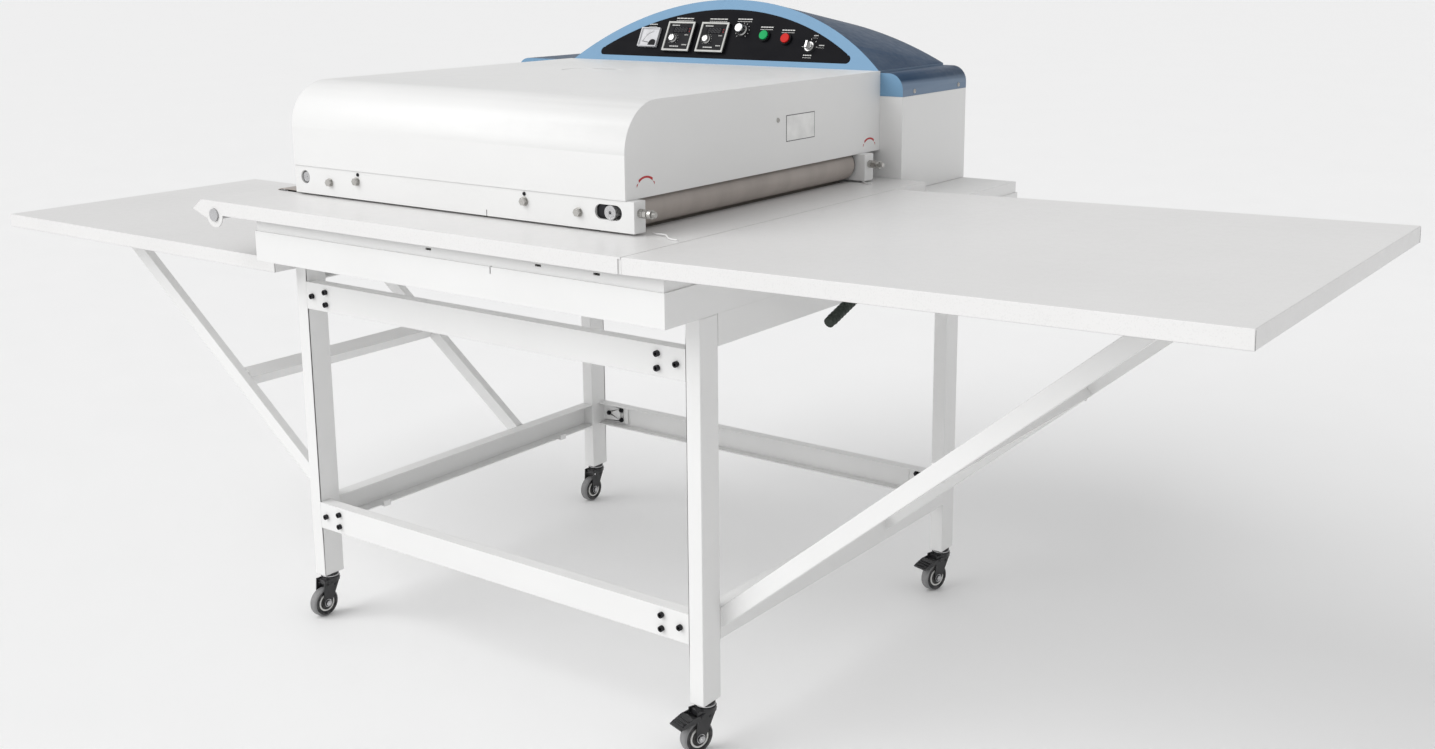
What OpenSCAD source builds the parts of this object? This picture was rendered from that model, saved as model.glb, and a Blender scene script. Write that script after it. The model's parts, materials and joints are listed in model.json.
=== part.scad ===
// Continuous fusing press: a belt-type heat press head cantilevered over a conveyor,
// on a braced tube stand with swivel casters and a side table at each end.
// Millimetres, +Z up, front is -Y. Parts are drawn about the middle of the stand, then placed so
// that the origin is on the floor under the middle of the whole footprint.

/* [Stand] */
// Outside width of the stand across the legs
stand_width = 1010; // [960:1:1060]
// Outside depth of the stand across the legs
stand_depth = 900; // [860:1:940]
// Height of the leg feet above the floor
leg_foot_z = 90; // [86:1:96]
// Wall of the leg tube
tube_wall = 2; // [1.5:0.5:3]
// Height of the lower cross beams above the floor, at their top edge
lower_beam_z = 253; // [230:1:300]

/* [Casters] */
// Wheel radius
wheel_r = 30; // [28:0.5:31]
// Wheel width
wheel_w = 21; // [18:1:24]
// Distance of the axle behind the swivel axis
caster_trail = 20; // [16:1:24]

/* [Tables] */
// Length of the right table away from the machine
right_table_length = 984; // [800:1:1100]
// Front to back size of the right table
right_table_depth = 860; // [760:1:900]
// Degrees by which the right table's outer end sits high
right_table_rise = 1.2; // [0:0.1:1.5]
// Length of the left table away from the machine
left_table_length = 963; // [800:1:1100]
// Front to back size of the left table
left_table_depth = 687; // [600:1:760]

/* [Head] */
// Radius of the big bend along the front of the hood
hood_bend_r = 88; // [60:1:110]
// Height of the hood's top above the floor
hood_top_z = 1105; // [1090:1:1120]
// Slope length of the control face from its lower edge to the top of the arch
arch_rise = 158; // [130:1:175]
// Degrees by which the control face leans back
panel_lean = 27; // [10:1:32]

/* [Hidden] */
$fn = 48;
fit = 0.05;
air = 0.3;
eps = 0.01;
sheet = 2;
half_w = stand_width / 2;
half_d = stand_depth / 2;
leg_x = 30;
leg_y = 50;
leg_top_z = 770;
foot_plate = 6;
stem_r = 6;
beam_h = 55;
beam_sheet = 2.5;
beam_flange = 25;
upper_beam_z = 716;
beam_half = half_w - leg_x;
lug_len = 78;
lug_h = 44;
lug_t = 3;
bolt_near = 18;
bolt_far = 58;
bolt_pitch = 25;
bolt_r = 3;
bolt_hole_r = 3.1;
bolt_head_r = 5.3;
bolt_head_h = 6;
rail_half = half_d - leg_y;
rail_t = 2.5;

swivel_x = half_w - leg_x / 2;
swivel_y = half_d - leg_y / 2;
axle_z = wheel_r;
axle_r = 4;
race_z = leg_foot_z - 0.4;
trail_front_left = -92;
trail_rear_left = -92;
trail_front_right = -108;
trail_rear_right = -107;
pedal_pivot_x = 18;
pedal_pivot_z = 70;
pedal_pin_r = 3;

deck_z = 881;
deck_sheet = 3;
lip_h = 28;
deck_left = -646;
deck_right = 431;
deck_front = -557;
deck_mid = 291;
lug_hole_x = -606;
lug_hole_z = 853;
base_front = -540;
base_back = 715;
base_low = 770;
skirt_top = 829;
base_top = 852.6;
base_wall = 3;

table_hinge_x = deck_right + 1;
lip_gap = 6;
right_table_front = deck_front;
right_table_back = deck_front + right_table_depth;
left_table_top = 768;
left_table_front = -501;
left_table_back = left_table_front + left_table_depth;
left_lip_h = 29;
arm_y_front = -388;
arm_y_rear = 170;
arm_t = 20;
arm_w = 30;
arm_wall = 1.5;
arm_foot_z = 236;
right_arm_slope = 39.9;
left_arm_slope = 37.1;

roller_r = 30.2;
roller_wall = 4;
belt_t = 1.5;
belt_in_r = 30.5;
belt_out_r = belt_in_r + belt_t;
lower_z = 853;
upper_z = 917.6;
nose_x = -606;
drive_x = -512;
front_x = 284.5;
return_x = 255;
shaft_r = 10;
lower_belt_y0 = -390;
lower_belt_y1 = 345;
upper_belt_y0 = -368;
upper_belt_y1 = 335;
gear_y0 = 388;
gear_y1 = 402;
gear_pitch_r = (upper_z - lower_z) / 2;
gear_teeth = 20;
plate_front_y = -404;
plate_back_y = 352;
plate_t = 6;

head_left = -543;
head_right = 336;
rail_front_y = -405;
front_rail_d = 30;
rear_rail_y = 344;
rear_rail_d = 34;
head_rail_low = 885;
head_rail_top = 939.7;
bearing_hole_r = 13;
slot_half_h = 13;
slot_left = 249;
slot_right = 309;
shaft_disc_r = 12.5;
bracket_x = [-335, 105];
bracket_w = 85;
hood_left = -542;
hood_right = 319;
hood_front = -407;
hood_low = 940;
hood_sheet = 1.6;
heater_low = 888;
heater_t = 10;
tie_w = 24;
tie_x = [-438, -359, 85, 212];
tie_z = [912, 920, 920, 912];

cab_left = -717;
cab_right = 373;
cab_front = 432;
cab_back = base_back;
cab_top = 1053;
cab_wall = 2;
gland_x = 300;
gland_z = 890;
gland_r = 10;
shoulder_z = hood_top_z - 4;
shoulder_r = 34;
arch_x = -108;
arch_half = 423;
arch_foot_z = hood_top_z;
arch_r = (arch_half * arch_half + arch_rise * arch_rise) / (2 * arch_rise);
arch_cz = arch_foot_z + arch_rise - arch_r;
back_rise = 100;
arch_steps = 40;
cover_wall = 3;
panel_low = arch_foot_z + 13;
panel_r = arch_r - 24;
panel_corner = 10;
panel_t = 2;
panel_face = cab_front + 0.4;
meter_x = -318;
meter_z = arch_foot_z + 59;
unit_x = [-230, -134];
unit_z = arch_foot_z + 62;
unit_w = 76;
unit_h = 72;
body_half_w = 32.5;
body_half_h = 27.5;
body_gap = 0.5;
temp_knob_dx = -14;
temp_knob_dz = -6;
speed_x = -61;
speed_z = arch_foot_z + 83;
start_x = 4;
start_z = arch_foot_z + 71;
stop_x = 63;
stop_z = arch_foot_z + 65;
selector_x = 128;
selector_z = arch_foot_z + 49;
knob_r = 4;

lever_y = 40;
lever_z = 815;
lever_tip_y = -211;
lever_tip_z = 730;
lever_x = 600;
lever_r = 6;
grip_r = 9.5;
grip_len = 110;
lever_shaft_r = 8;

box_left = -half_w - left_table_length;
box_right = table_hinge_x + right_table_length * cos(right_table_rise)
  + lip_h * sin(right_table_rise);
box_front = deck_front - 3;
gland_out = 22;
box_back = cab_back + gland_out;

white = [0.93, 0.93, 0.92];
steel = [0.72, 0.72, 0.74];
black = [0.07, 0.07, 0.08];
blue = [0.42, 0.58, 0.76];

// A block between two corners.
module block(x0, x1, y0, y1, z0, z1) {
  translate([x0, y0, z0])
    cube([x1 - x0, y1 - y0, z1 - z0]);
}

// A cylinder lying along +Y from y0 to y1.
module bar_y(x, z, r, y0, y1) {
  translate([x, y0, z])
    rotate([-90, 0, 0])
      cylinder(r = r, h = y1 - y0);
}

// A cylinder lying along +X from x0 to x1.
module bar_x(y, z, r, x0, x1) {
  translate([x0, y, z])
    rotate([0, 90, 0])
      cylinder(r = r, h = x1 - x0);
}

// ---------------------------------------------------------------- stand

// One leg: a rectangular tube with a foot plate for the caster stem and two bolting lugs.
module leg(side_x, side_y) {
  color(white)
    scale_free_mirror(side_x, side_y)
      difference() {
        union() {
          block(beam_half, half_w, half_d - leg_y, half_d, leg_foot_z, leg_top_z);
          leg_lug(upper_beam_z);
          leg_lug(lower_beam_z);
        }
        block(beam_half + tube_wall, half_w - tube_wall, half_d - leg_y + tube_wall,
          half_d - tube_wall, leg_foot_z + foot_plate, leg_top_z - tube_wall);
        translate([swivel_x, swivel_y, leg_foot_z - 1])
          cylinder(r = stem_r + fit, h = foot_plate + 2);
        beam_bolt_holes(upper_beam_z);
        beam_bolt_holes(lower_beam_z);
      }
}

// Mirrors the +X +Y quarter to the quarter asked for.
module scale_free_mirror(side_x, side_y) {
  mirror([side_x < 0 ? 1 : 0, 0, 0])
    mirror([0, side_y < 0 ? 1 : 0, 0])
      children();
}

// Lug behind the web of a cross beam, welded to the leg's inner face.
module leg_lug(beam_top) {
  mid = beam_top - beam_h / 2;
  y1 = half_d - beam_sheet;
  block(beam_half - lug_len, beam_half + eps, y1 - lug_t, y1, mid - lug_h / 2, mid + lug_h / 2);
}

// The triangle of three bolt positions at one end of a beam, as [inset, height offset].
function bolt_spots() = [[bolt_near, 0], [bolt_far, bolt_pitch / 2], [bolt_far, -bolt_pitch / 2]];

module beam_bolt_holes(beam_top) {
  for (s = bolt_spots())
    bar_y(beam_half - s[0], beam_top - beam_h / 2 + s[1], bolt_hole_r, half_d - 20, half_d + 1);
}

// Channel beam between two legs, web outwards, drawn at the rear and mirrored for the front.
module cross_beam(beam_top, side_y) {
  color(white)
    mirror([0, side_y < 0 ? 1 : 0, 0])
      difference() {
        block(-beam_half, beam_half, half_d - beam_flange, half_d, beam_top - beam_h, beam_top);
        block(-beam_half - 1, beam_half + 1, half_d - beam_flange - 1, half_d - beam_sheet,
          beam_top - beam_h + beam_sheet, beam_top - beam_sheet);
        beam_bolt_holes(beam_top);
        mirror([1, 0, 0])
          beam_bolt_holes(beam_top);
      }
}

// Channel rail along a side of the stand, web outwards, with two cable tabs on the lower flange.
module side_rail(rail_top, side_x, tabs) {
  low = rail_top - beam_h;
  color(white)
    mirror([side_x < 0 ? 1 : 0, 0, 0])
      difference() {
        union() {
          block(beam_half, half_w, -rail_half, rail_half, low, rail_top);
          if (tabs)
            for (y = [-283, 277])
              rail_tab(y, low);
        }
        block(beam_half - 1, half_w - rail_t, -rail_half - 1, rail_half + 1,
          low + rail_t, rail_top - rail_t);
      }
}

// A bent-up tab on the free edge of a rail's lower flange.
module rail_tab(y, low) {
  block(beam_half - 12, beam_half + eps, y - 9, y + 9, low, low + rail_t);
  block(beam_half - 12, beam_half - 9.5, y - 9, y + 9, low, low + 12);
}

// Socket head bolt with its nut, axis along Y, head outwards at the rear.
module beam_bolt(x, z) {
  lug_back = half_d - beam_sheet - lug_t;
  difference() {
    union() {
      bar_y(x, z, bolt_head_r, half_d, half_d + bolt_head_h);
      bar_y(x, z, bolt_r, lug_back - 8, half_d + 1);
      translate([x, lug_back, z])
        rotate([90, 0, 0])
          cylinder(r = 5.8, h = 5.5, $fn = 6);
    }
    translate([x, half_d + bolt_head_h - 4, z])
      rotate([-90, 0, 0])
        cylinder(r = 2.9, h = 5, $fn = 6);
  }
}

module stand_bolts() {
  color(black)
    for (sx = [-1, 1], sy = [-1, 1], top = [upper_beam_z, lower_beam_z], s = bolt_spots())
      scale_free_mirror(sx, sy)
        beam_bolt(beam_half - s[0], top - beam_h / 2 + s[1]);
}

// ---------------------------------------------------------------- casters

// Puts a caster drawn with its trail along +X under the leg at the given corner.
module at_caster(side_x, side_y, heading) {
  translate([side_x * swivel_x, side_y * swivel_y, 0])
    rotate([0, 0, heading])
      children();
}

// Swivel fork: stem, race, crown, two cheeks and the axle.
module caster_fork(side_x, side_y, heading) {
  cheek_in = wheel_w / 2 + 1.5;
  cheek_t = 2.5;
  color(black)
    at_caster(side_x, side_y, heading)
      difference() {
        union() {
          cylinder_from(stem_r, 76, leg_foot_z + foot_plate + 4);
          cylinder_from(17, race_z - 5, race_z);
          cylinder_from(13.5, race_z - 8, race_z - 4);
          cylinder_from(19, race_z - 16, race_z - 7);
          for (s = [-1, 1])
            fork_cheek(s * (cheek_in + cheek_t / 2), cheek_t);
          block(-8, 22, -cheek_in - 1, cheek_in + 1, race_z - 20, race_z - 12);
          bar_y_local(caster_trail, axle_z, axle_r, cheek_in + cheek_t + 3);
          bar_y_local(caster_trail, axle_z, 7, cheek_in + cheek_t + 2, cheek_in + 0.1);
        }
        bar_y_local(pedal_pivot_x, pedal_pivot_z, pedal_pin_r + fit, cheek_in + cheek_t + 6);
      }
}

module cylinder_from(r, z0, z1) {
  translate([0, 0, z0])
    cylinder(r = r, h = z1 - z0);
}

// A bar along local Y, symmetric about the wheel's mid plane; an inner half length leaves a gap.
module bar_y_local(x, z, r, half, inner = 0) {
  if (inner > 0) {
    bar_y(x, z, r, inner, half);
    bar_y(x, z, r, -half, -inner);
  } else {
    bar_y(x, z, r, -half, half);
  }
}

// One cheek of the fork: a tapering plate from the crown to a round end at the axle.
module fork_cheek(y, t) {
  translate([0, y + t / 2, 0])
    rotate([90, 0, 0])
      linear_extrude(height = t)
        union() {
          polygon([[-14, race_z - 10], [26, race_z - 10], [caster_trail + 10, axle_z],
            [caster_trail - 10, axle_z]]);
          translate([caster_trail, axle_z])
            circle(r = 10);
        }
}

// Wheel with a rounded tread, recessed sides, a raised ring and a hub bored for the axle.
module caster_wheel(side_x, side_y, heading) {
  w = wheel_w / 2;
  color([0.35, 0.35, 0.36])
    at_caster(side_x, side_y, heading)
      translate([caster_trail, 0, axle_z])
        rotate([90, 0, 0])
          rotate_extrude($fn = 64)
            polygon([[axle_r + fit, -w], [11, -w], [12, -w + 1.5], [15, -w + 1.5], [15.6, -w + 0.4],
              [18, -w + 0.4], [18.6, -w + 2], [22, -w + 2], [22.5, -w + 0.6], [26.5, -w + 0.6],
              [29, -w + 2.5], [wheel_r, -w + 5.5], [wheel_r, w - 5.5], [29, w - 2.5],
              [26.5, w - 0.6], [22.5, w - 0.6], [22, w - 2], [18.6, w - 2], [18, w - 0.4],
              [15.6, w - 0.4], [15, w - 1.5], [12, w - 1.5], [11, w], [axle_r + fit, w]]);
}

// Brake pedal over the wheel: a pin across the fork, side ears, a ribbed tread plate, a brake shoe.
module brake_pedal(side_x, side_y, heading) {
  ear = wheel_w / 2 + 5.3;
  color(black)
    at_caster(side_x, side_y, heading)
      union() {
          bar_y_local(pedal_pivot_x, pedal_pivot_z, pedal_pin_r, ear + 2);
          for (s = [-1, 1])
            translate([0, s * ear + 1, 0])
              rotate([90, 0, 0])
                linear_extrude(height = 2)
                  polygon([[pedal_pivot_x - 5, pedal_pivot_z - 5], [pedal_pivot_x + 5, pedal_pivot_z - 6],
                    [58, 58], [60, 62], [40, 71], [pedal_pivot_x - 5, pedal_pivot_z + 5]]);
          translate([40, -ear - 1, 70])
            rotate([0, 24, 0])
              translate([-4, 0, -2.5])
                cube([30, 2 * ear + 2, 3]);
          for (i = [0, 1, 2])
            translate([44 + 6 * i, -ear + 1, 70.2 - 2.67 * i - 2])
              rotate([0, 24, 0])
                cube([2, 2 * ear - 2, 3]);
          translate([24, -wheel_w / 2 + 1, 64])
            cube([12, wheel_w - 2, 3]);
          translate([33, -wheel_w / 2 + 1, 64])
            cube([6, wheel_w - 2, 7]);
      }
}

// ---------------------------------------------------------------- side tables

// A folded sheet tray, top at z = 0, lips down on four sides, with two stiffeners underneath.
module tray(length, depth, lip) {
  difference() {
    block(0, length, 0, depth, -lip, 0);
    block(sheet, length - sheet, sheet, depth - sheet, -lip - 1, -sheet);
  }
  for (f = [0.3, 0.7])
    block(sheet - eps, length - sheet + eps, depth * f - 15, depth * f + 15, -sheet - 6, -sheet + eps);
}

module right_table() {
  color(white)
    translate([table_hinge_x, right_table_front, deck_z])
      rotate([0, -right_table_rise, 0])
        tray(right_table_length, right_table_depth, lip_h);
}

module left_table() {
  color(white)
    translate([-half_w - left_table_length, left_table_front, left_table_top])
      tray(left_table_length, left_table_depth, left_lip_h);
}

// Height of the underside of the right table's sheet at a distance x from the stand's middle.
function right_under(x) = deck_z - sheet / cos(right_table_rise)
  + (x - table_hinge_x) * tan(right_table_rise);

// Outline of a sloping arm from the stand's side up to the underside of a table.
module arm_outline(slope, under0, rise, inset) {
  h = arm_w / cos(slope) / 2 - inset / cos(slope);
  foot_low = arm_foot_z - h;
  foot_top = arm_foot_z + h;
  t = tan(slope);
  k = tan(rise);
  reach_top = (under0 - foot_top + k * half_w) / (t - k);
  reach_low = (under0 - foot_low + k * half_w) / (t - k);
  polygon([[half_w, foot_low], [half_w + reach_low, foot_low + t * reach_low],
    [half_w + reach_top, foot_top + t * reach_top], [half_w, foot_top]]);
}

// One brace arm, a rectangular tube cut to seat on the rail and under the table.
module brace_arm(y, slope, under0, rise) {
  translate([0, y + arm_t / 2, 0])
    rotate([90, 0, 0])
      difference() {
        linear_extrude(height = arm_t)
          arm_outline(slope, under0, rise, 0);
        translate([0, 0, arm_wall])
          linear_extrude(height = arm_t - 2 * arm_wall)
            arm_outline(slope, under0, rise, arm_wall);
      }
}

// Underside height of the right table carried back to x = 0.
right_under0 = right_under(0);
left_under0 = left_table_top - sheet;

module right_arm(y) {
  color(white)
    brace_arm(y, right_arm_slope, right_under0, right_table_rise);
}

module left_arm(y) {
  color(white)
    mirror([1, 0, 0])
      brace_arm(y, left_arm_slope, left_under0, 0);
}

// Bar welded between the two arms, lying square to them.
module brace_crossbar(x, slope) {
  z = arm_foot_z + (x - half_w) * tan(slope);
  translate([x, arm_y_front + arm_t / 2, z])
    rotate([0, -slope, 0])
      difference() {
        translate([-arm_w / 2, 0, -arm_w / 2])
          cube([arm_w, arm_y_rear - arm_y_front - arm_t, arm_w]);
        translate([-arm_w / 2 + arm_wall, -1, -arm_w / 2 + arm_wall])
          cube([arm_w - 2 * arm_wall, arm_y_rear - arm_y_front, arm_w - 2 * arm_wall]);
      }
}

module brace_crossbars() {
  color(white) {
    mirror([1, 0, 0])
      brace_crossbar(792, left_arm_slope);
    brace_crossbar(903, right_arm_slope);
  }
}

// ---------------------------------------------------------------- base

// The folded base box that carries the conveyor, with its two conveyor side plates.
module base_box() {
  color(white)
    difference() {
      union() {
        difference() {
          union() {
            block(-half_w, half_w, base_front, base_back, base_low, skirt_top);
            block(-half_w + 3, half_w - 3, base_front + 3, base_back - 3, skirt_top - 1, base_top);
          }
          block(-half_w + 6, half_w - 6, base_front + 6, base_back - 6, base_low + 3, base_top + 1);
        }
        conveyor_plate(plate_front_y);
        conveyor_plate(plate_back_y);
        block(half_w - 82, half_w - 5, base_front + 5, base_back - 5, base_top - 3, base_top);
        block(cab_right - 20, half_w - 5, cab_front, base_back - 5, base_top - 3, base_top);
        block(drive_x - 10, -half_w + 20, plate_front_y, plate_back_y + plate_t, 812, 815);
      }
      block(-half_w - 1, -half_w + 8, plate_front_y + plate_t, plate_back_y, 815, base_top + 1);
      block(-half_w - 1, -half_w + 8, gear_y0 - 4, gear_y1 + 4, 812, base_top + 1);
      for (x = [nose_x, drive_x, return_x])
        bar_y(x, lower_z, shaft_r + fit, plate_front_y - 1, plate_back_y + plate_t + 1);
      bar_x(lever_y, lever_z, lever_shaft_r + fit, half_w - 8, half_w + 1);
      block(126.6, 129.4, base_front - 1, base_front + 8, 817, skirt_top + 1);
      for (x = [-25, 236, 364])
        block(x - 7, x + 7, base_front - 1, base_front + 8, 841, 845);
    }
}

// One side plate of the conveyor, standing in the base box and reaching out past its left end.
module conveyor_plate(y) {
  block(-636, 325, y, y + plate_t, 815, 877.6);
  block(-half_w + 4, 325, y, y + plate_t, base_low + 2, 816);
}

// Deck plate around the conveyor, with its front lip and the pointed lug at the left end.
module deck() {
  color(white)
    difference() {
      union() {
        block(deck_left, deck_right, deck_front, lower_belt_y0 - 3, deck_z - deck_sheet, deck_z);
        block(deck_mid, deck_right, deck_front, cab_front - 0.5, deck_z - deck_sheet, deck_z);
        block(-half_w, deck_right, lower_belt_y1 + 3, cab_front - 0.5, deck_z - deck_sheet, deck_z);
        block(deck_left, deck_right - lip_gap, deck_front, deck_front + sheet, deck_z - lip_h, deck_z);
        block(deck_right - lip_gap - 8, deck_right, deck_front + sheet - eps, deck_front + 2 * sheet,
          deck_z - lip_h, deck_z);
        block(deck_right - sheet, deck_right, right_table_back + 2, cab_front - 0.5,
          deck_z - lip_h + 0.2, deck_z);
        translate([0, deck_front + sheet, 0])
          rotate([90, 0, 0])
            linear_extrude(height = sheet)
              deck_lug();
        bar_y(lug_hole_x, lug_hole_z, 25, deck_front, deck_front + sheet);
      }
      bar_y(lug_hole_x, lug_hole_z, 13, deck_front - 1, deck_front + sheet + 1);
      block(drive_x - gear_pitch_r - 4, drive_x + gear_pitch_r + 4, gear_y0 - 2, gear_y1 + 2,
        deck_z - 4, deck_z + 1);
    }
}

// Pointed end of the deck's front lip.
module deck_lug() {
  polygon([[deck_left + eps, deck_z], [-675, deck_z - 21], [-632, deck_z - 36],
    [deck_left + 30, deck_z - lip_h]]);
}

// ---------------------------------------------------------------- conveyor and head rollers

// Endless belt around two rollers of the same height.
module belt(x0, x1, z, y0, y1) {
  translate([0, y1, z])
    rotate([90, 0, 0])
      linear_extrude(height = y1 - y0)
        difference() {
          belt_outline(x0, x1, belt_out_r);
          belt_outline(x0, x1, belt_in_r);
        }
}

module belt_outline(x0, x1, r) {
  translate([x0, 0])
    circle(r = r, $fn = 96);
  translate([x1, 0])
    circle(r = r, $fn = 96);
  translate([x0, -r])
    square([x1 - x0, 2 * r]);
}

module lower_belt() {
  color([0.62, 0.5, 0.42])
    belt(nose_x, return_x, lower_z, lower_belt_y0, lower_belt_y1);
}

module upper_belt() {
  color([0.62, 0.5, 0.42])
    belt(drive_x, front_x, upper_z, upper_belt_y0, upper_belt_y1);
}

// Tube roller with end discs on its shaft; the shaft ends run in the side plates.
module roller(x, z, y0, y1, shaft_y0, shaft_y1) {
  difference() {
    bar_y(x, z, roller_r, y0 + 2, y1 - 2);
    bar_y(x, z, roller_r - roller_wall, y0 + 12, y1 - 12);
  }
  bar_y(x, z, shaft_r, shaft_y0, shaft_y1);
}

// Spur gear outline with straight-sided teeth.
module gear(x, z, y0, y1, turn) {
  tooth = 360 / gear_teeth;
  root_r = gear_pitch_r - 3;
  tip_r = gear_pitch_r + 2.3;
  translate([x, y1, z])
    rotate([90, 0, 0])
      rotate([0, 0, turn])
        linear_extrude(height = y1 - y0)
          polygon([for (i = [0 : gear_teeth - 1], p = [[-0.29, root_r], [-0.11, tip_r],
            [0.11, tip_r], [0.29, root_r]])
            [p[1] * cos((i + p[0]) * tooth), p[1] * sin((i + p[0]) * tooth)]]);
}

module lower_drive_roller() {
  color(steel)
    union() {
      roller(drive_x, lower_z, lower_belt_y0, lower_belt_y1, plate_front_y - 4, gear_y1);
      gear(drive_x, lower_z, gear_y0, gear_y1, 0);
    }
}

module lower_nose_roller() {
  color(steel)
    union() {
      roller(nose_x, lower_z, lower_belt_y0, lower_belt_y1, deck_front - 3, plate_back_y + plate_t + 6);
      bar_y(nose_x, lower_z, 12.6, deck_front - 3, deck_front + 12);
    }
}

module lower_return_roller() {
  color(steel)
    roller(return_x, lower_z, lower_belt_y0, lower_belt_y1, plate_front_y - 4,
      plate_back_y + plate_t + 6);
}

module upper_drive_roller() {
  color(steel)
    union() {
      roller(drive_x, upper_z, upper_belt_y0, upper_belt_y1, rail_front_y + 3, cab_front + 60);
      gear(drive_x, upper_z, gear_y0, gear_y1, 180 / gear_teeth);
    }
}

module upper_tension_roller() {
  color(steel)
    difference() {
      union() {
        roller(front_x, upper_z, upper_belt_y0, upper_belt_y1, rail_front_y - 2,
          rear_rail_y + rear_rail_d + 4);
        bar_y(front_x, upper_z, shaft_disc_r, rail_front_y - 2, rail_front_y + 6);
      }
      bar_y(front_x, upper_z, 3, rail_front_y - 3, rail_front_y + 6);
    }
}

// Heating plate over the lower half of the nip, carried by ribs inside the lower belt.
module lower_heater() {
  color([0.75, 0.74, 0.72])
    difference() {
      block(-450, 224, lower_belt_y0 + 4, lower_belt_y1 - 4, 868, 883);
      for (x = [-330, -107, 115])
        bar_y(x, 875, 5, lower_belt_y0, lower_belt_y1);
    }
}

// Heating plate inside the upper belt, hung on four tie bars bolted to the head rails.
module upper_heater() {
  color([0.75, 0.74, 0.72])
    difference() {
      union() {
        block(-465, 240, upper_belt_y0 + 4, upper_belt_y1 - 4, heater_low, heater_low + heater_t);
        for (i = [0 : 3])
          block(tie_x[i] - tie_w / 2, tie_x[i] + tie_w / 2, rail_front_y + front_rail_d,
            rear_rail_y, heater_low + heater_t - 1, 934);
      }
      for (i = [0 : 3])
        bar_y(tie_x[i], tie_z[i], 5, rail_front_y, rear_rail_y + rear_rail_d);
    }
}

// ---------------------------------------------------------------- head frame and hood

// Front side rail of the head: a box section with the roller hole, the slot and bolt holes.
module head_front_rail() {
  y0 = rail_front_y;
  y1 = rail_front_y + front_rail_d;
  color(white)
    difference() {
      block(head_left, head_right, y0, y1, head_rail_low, head_rail_top);
      block(head_left + 45, 180, y0 + 3, y1 - 3, head_rail_low + 3, head_rail_top - 3);
      bar_y(drive_x, upper_z, bearing_hole_r, y0 - 1, y0 + 12);
      bar_y(drive_x, upper_z, shaft_r + fit, y0, y1 + 1);
      tension_slot(y0 - 1, y1 + 1);
      bar_x(y0 + 15, 919, 5.1, slot_right - 2, head_right + 1);
      for (i = [0 : 3])
        bar_y(tie_x[i], tie_z[i], 5.1, y0 - 1, y1 + 1);
      block(-11.2, -8.8, y0 - 1, y0 + 3.5, head_rail_low - 1, head_rail_low + 11);
    }
}

// Obround slot the tension roller's shaft is drawn along.
module tension_slot(y0, y1) {
  bar_y(slot_left + slot_half_h, upper_z, slot_half_h, y0, y1);
  bar_y(slot_right - slot_half_h, upper_z, slot_half_h, y0, y1);
  block(slot_left + slot_half_h, slot_right - slot_half_h, y0, y1, upper_z - slot_half_h,
    upper_z + slot_half_h);
}

// Rear side rail of the head, with the two brackets that cantilever it from the cabinet.
module head_rear_rail() {
  y0 = rear_rail_y;
  y1 = rear_rail_y + rear_rail_d;
  color(white)
    difference() {
      union() {
        block(head_left, head_right, y0, y1, head_rail_low, head_rail_top);
        for (x = bracket_x)
          block(x, x + bracket_w, y1 - 1, cab_front, head_rail_low + 4, head_rail_top);
      }
      block(head_left + 45, 180, y0 + 3, y1 - 3, head_rail_low + 3, head_rail_top - 3);
      bar_y(drive_x, upper_z, shaft_r + fit, y0 - 1, y1 + 1);
      tension_slot(y0 - 1, y1 + 1);
      bar_x(y0 + 17, 919, 5.1, slot_right - 2, head_right + 1);
      for (i = [0 : 3])
        bar_y(tie_x[i], tie_z[i], 5.1, y0 - 1, y1 + 1);
    }
}

// Side profile of the hood, y to the back and z up, grown inwards by the inset.
module hood_profile(inset) {
  r = hood_bend_r - inset;
  y0 = hood_front + inset;
  z1 = hood_top_z - inset;
  low = hood_low - (inset > 0 ? 1 : 0);
  intersection() {
    union() {
      translate([y0 + r, z1 - r])
        circle(r = r, $fn = 96);
      translate([y0 + r, z1 - r])
        square([cab_front - y0 - r, r]);
      translate([y0, low])
        square([cab_front - y0, z1 - r - low]);
    }
    translate([y0, low])
      square([cab_front - y0, z1 - low]);
  }
}

// Extrudes a Y-Z profile along X.
module along_x(x0, x1) {
  translate([x0, 0, 0])
    rotate([90, 0, 90])
      linear_extrude(height = x1 - x0)
        children();
}

// The sheet hood over the head, open underneath, with an oval dimple pressed in the top and
// its left wall cut away over the belt.
module hood() {
  color(white)
    difference() {
      along_x(hood_left, hood_right)
        hood_profile(0);
      along_x(hood_left + hood_sheet, hood_right - hood_sheet)
        hood_profile(hood_sheet);
      block(hood_left + hood_sheet, hood_right - hood_sheet, cab_front - 10, cab_front + 1,
        hood_low - 1, hood_top_z - hood_sheet);
      for (x = [-262, -198])
        translate([x, 150, hood_top_z - 0.8])
          cylinder(r = 42, h = 2);
      block(-262, -198, 108, 192, hood_top_z - 0.8, hood_top_z + 1);
      block(hood_left - 1, hood_left + 3, upper_belt_y0 - 4, gear_y1 + 4, hood_low - 1,
        upper_z + gear_pitch_r + 6);
    }
}

// Hex bolts that hold the tie bars, and the two tension screws with their nuts.
module head_bolts() {
  color(steel)
    union() {
      for (i = [0 : 3]) {
        head_bolt(tie_x[i], tie_z[i], rail_front_y, -1);
        head_bolt(tie_x[i], tie_z[i], rear_rail_y + rear_rail_d, 1);
      }
      tension_screw(rail_front_y + 15);
      tension_screw(rear_rail_y + 17);
    }
}

// Hex head and washer on a rail's outer face, with the shank running inwards.
module head_bolt(x, z, face, dir) {
  translate([x, face, z])
    rotate([dir < 0 ? 90 : -90, 0, 0])
      union() {
        cylinder(r = 8.5, h = 1.6);
        cylinder(r = 7.5, h = 7.5, $fn = 6);
        translate([0, 0, -55])
          cylinder(r = 4.9, h = 56);
      }
}

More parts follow.
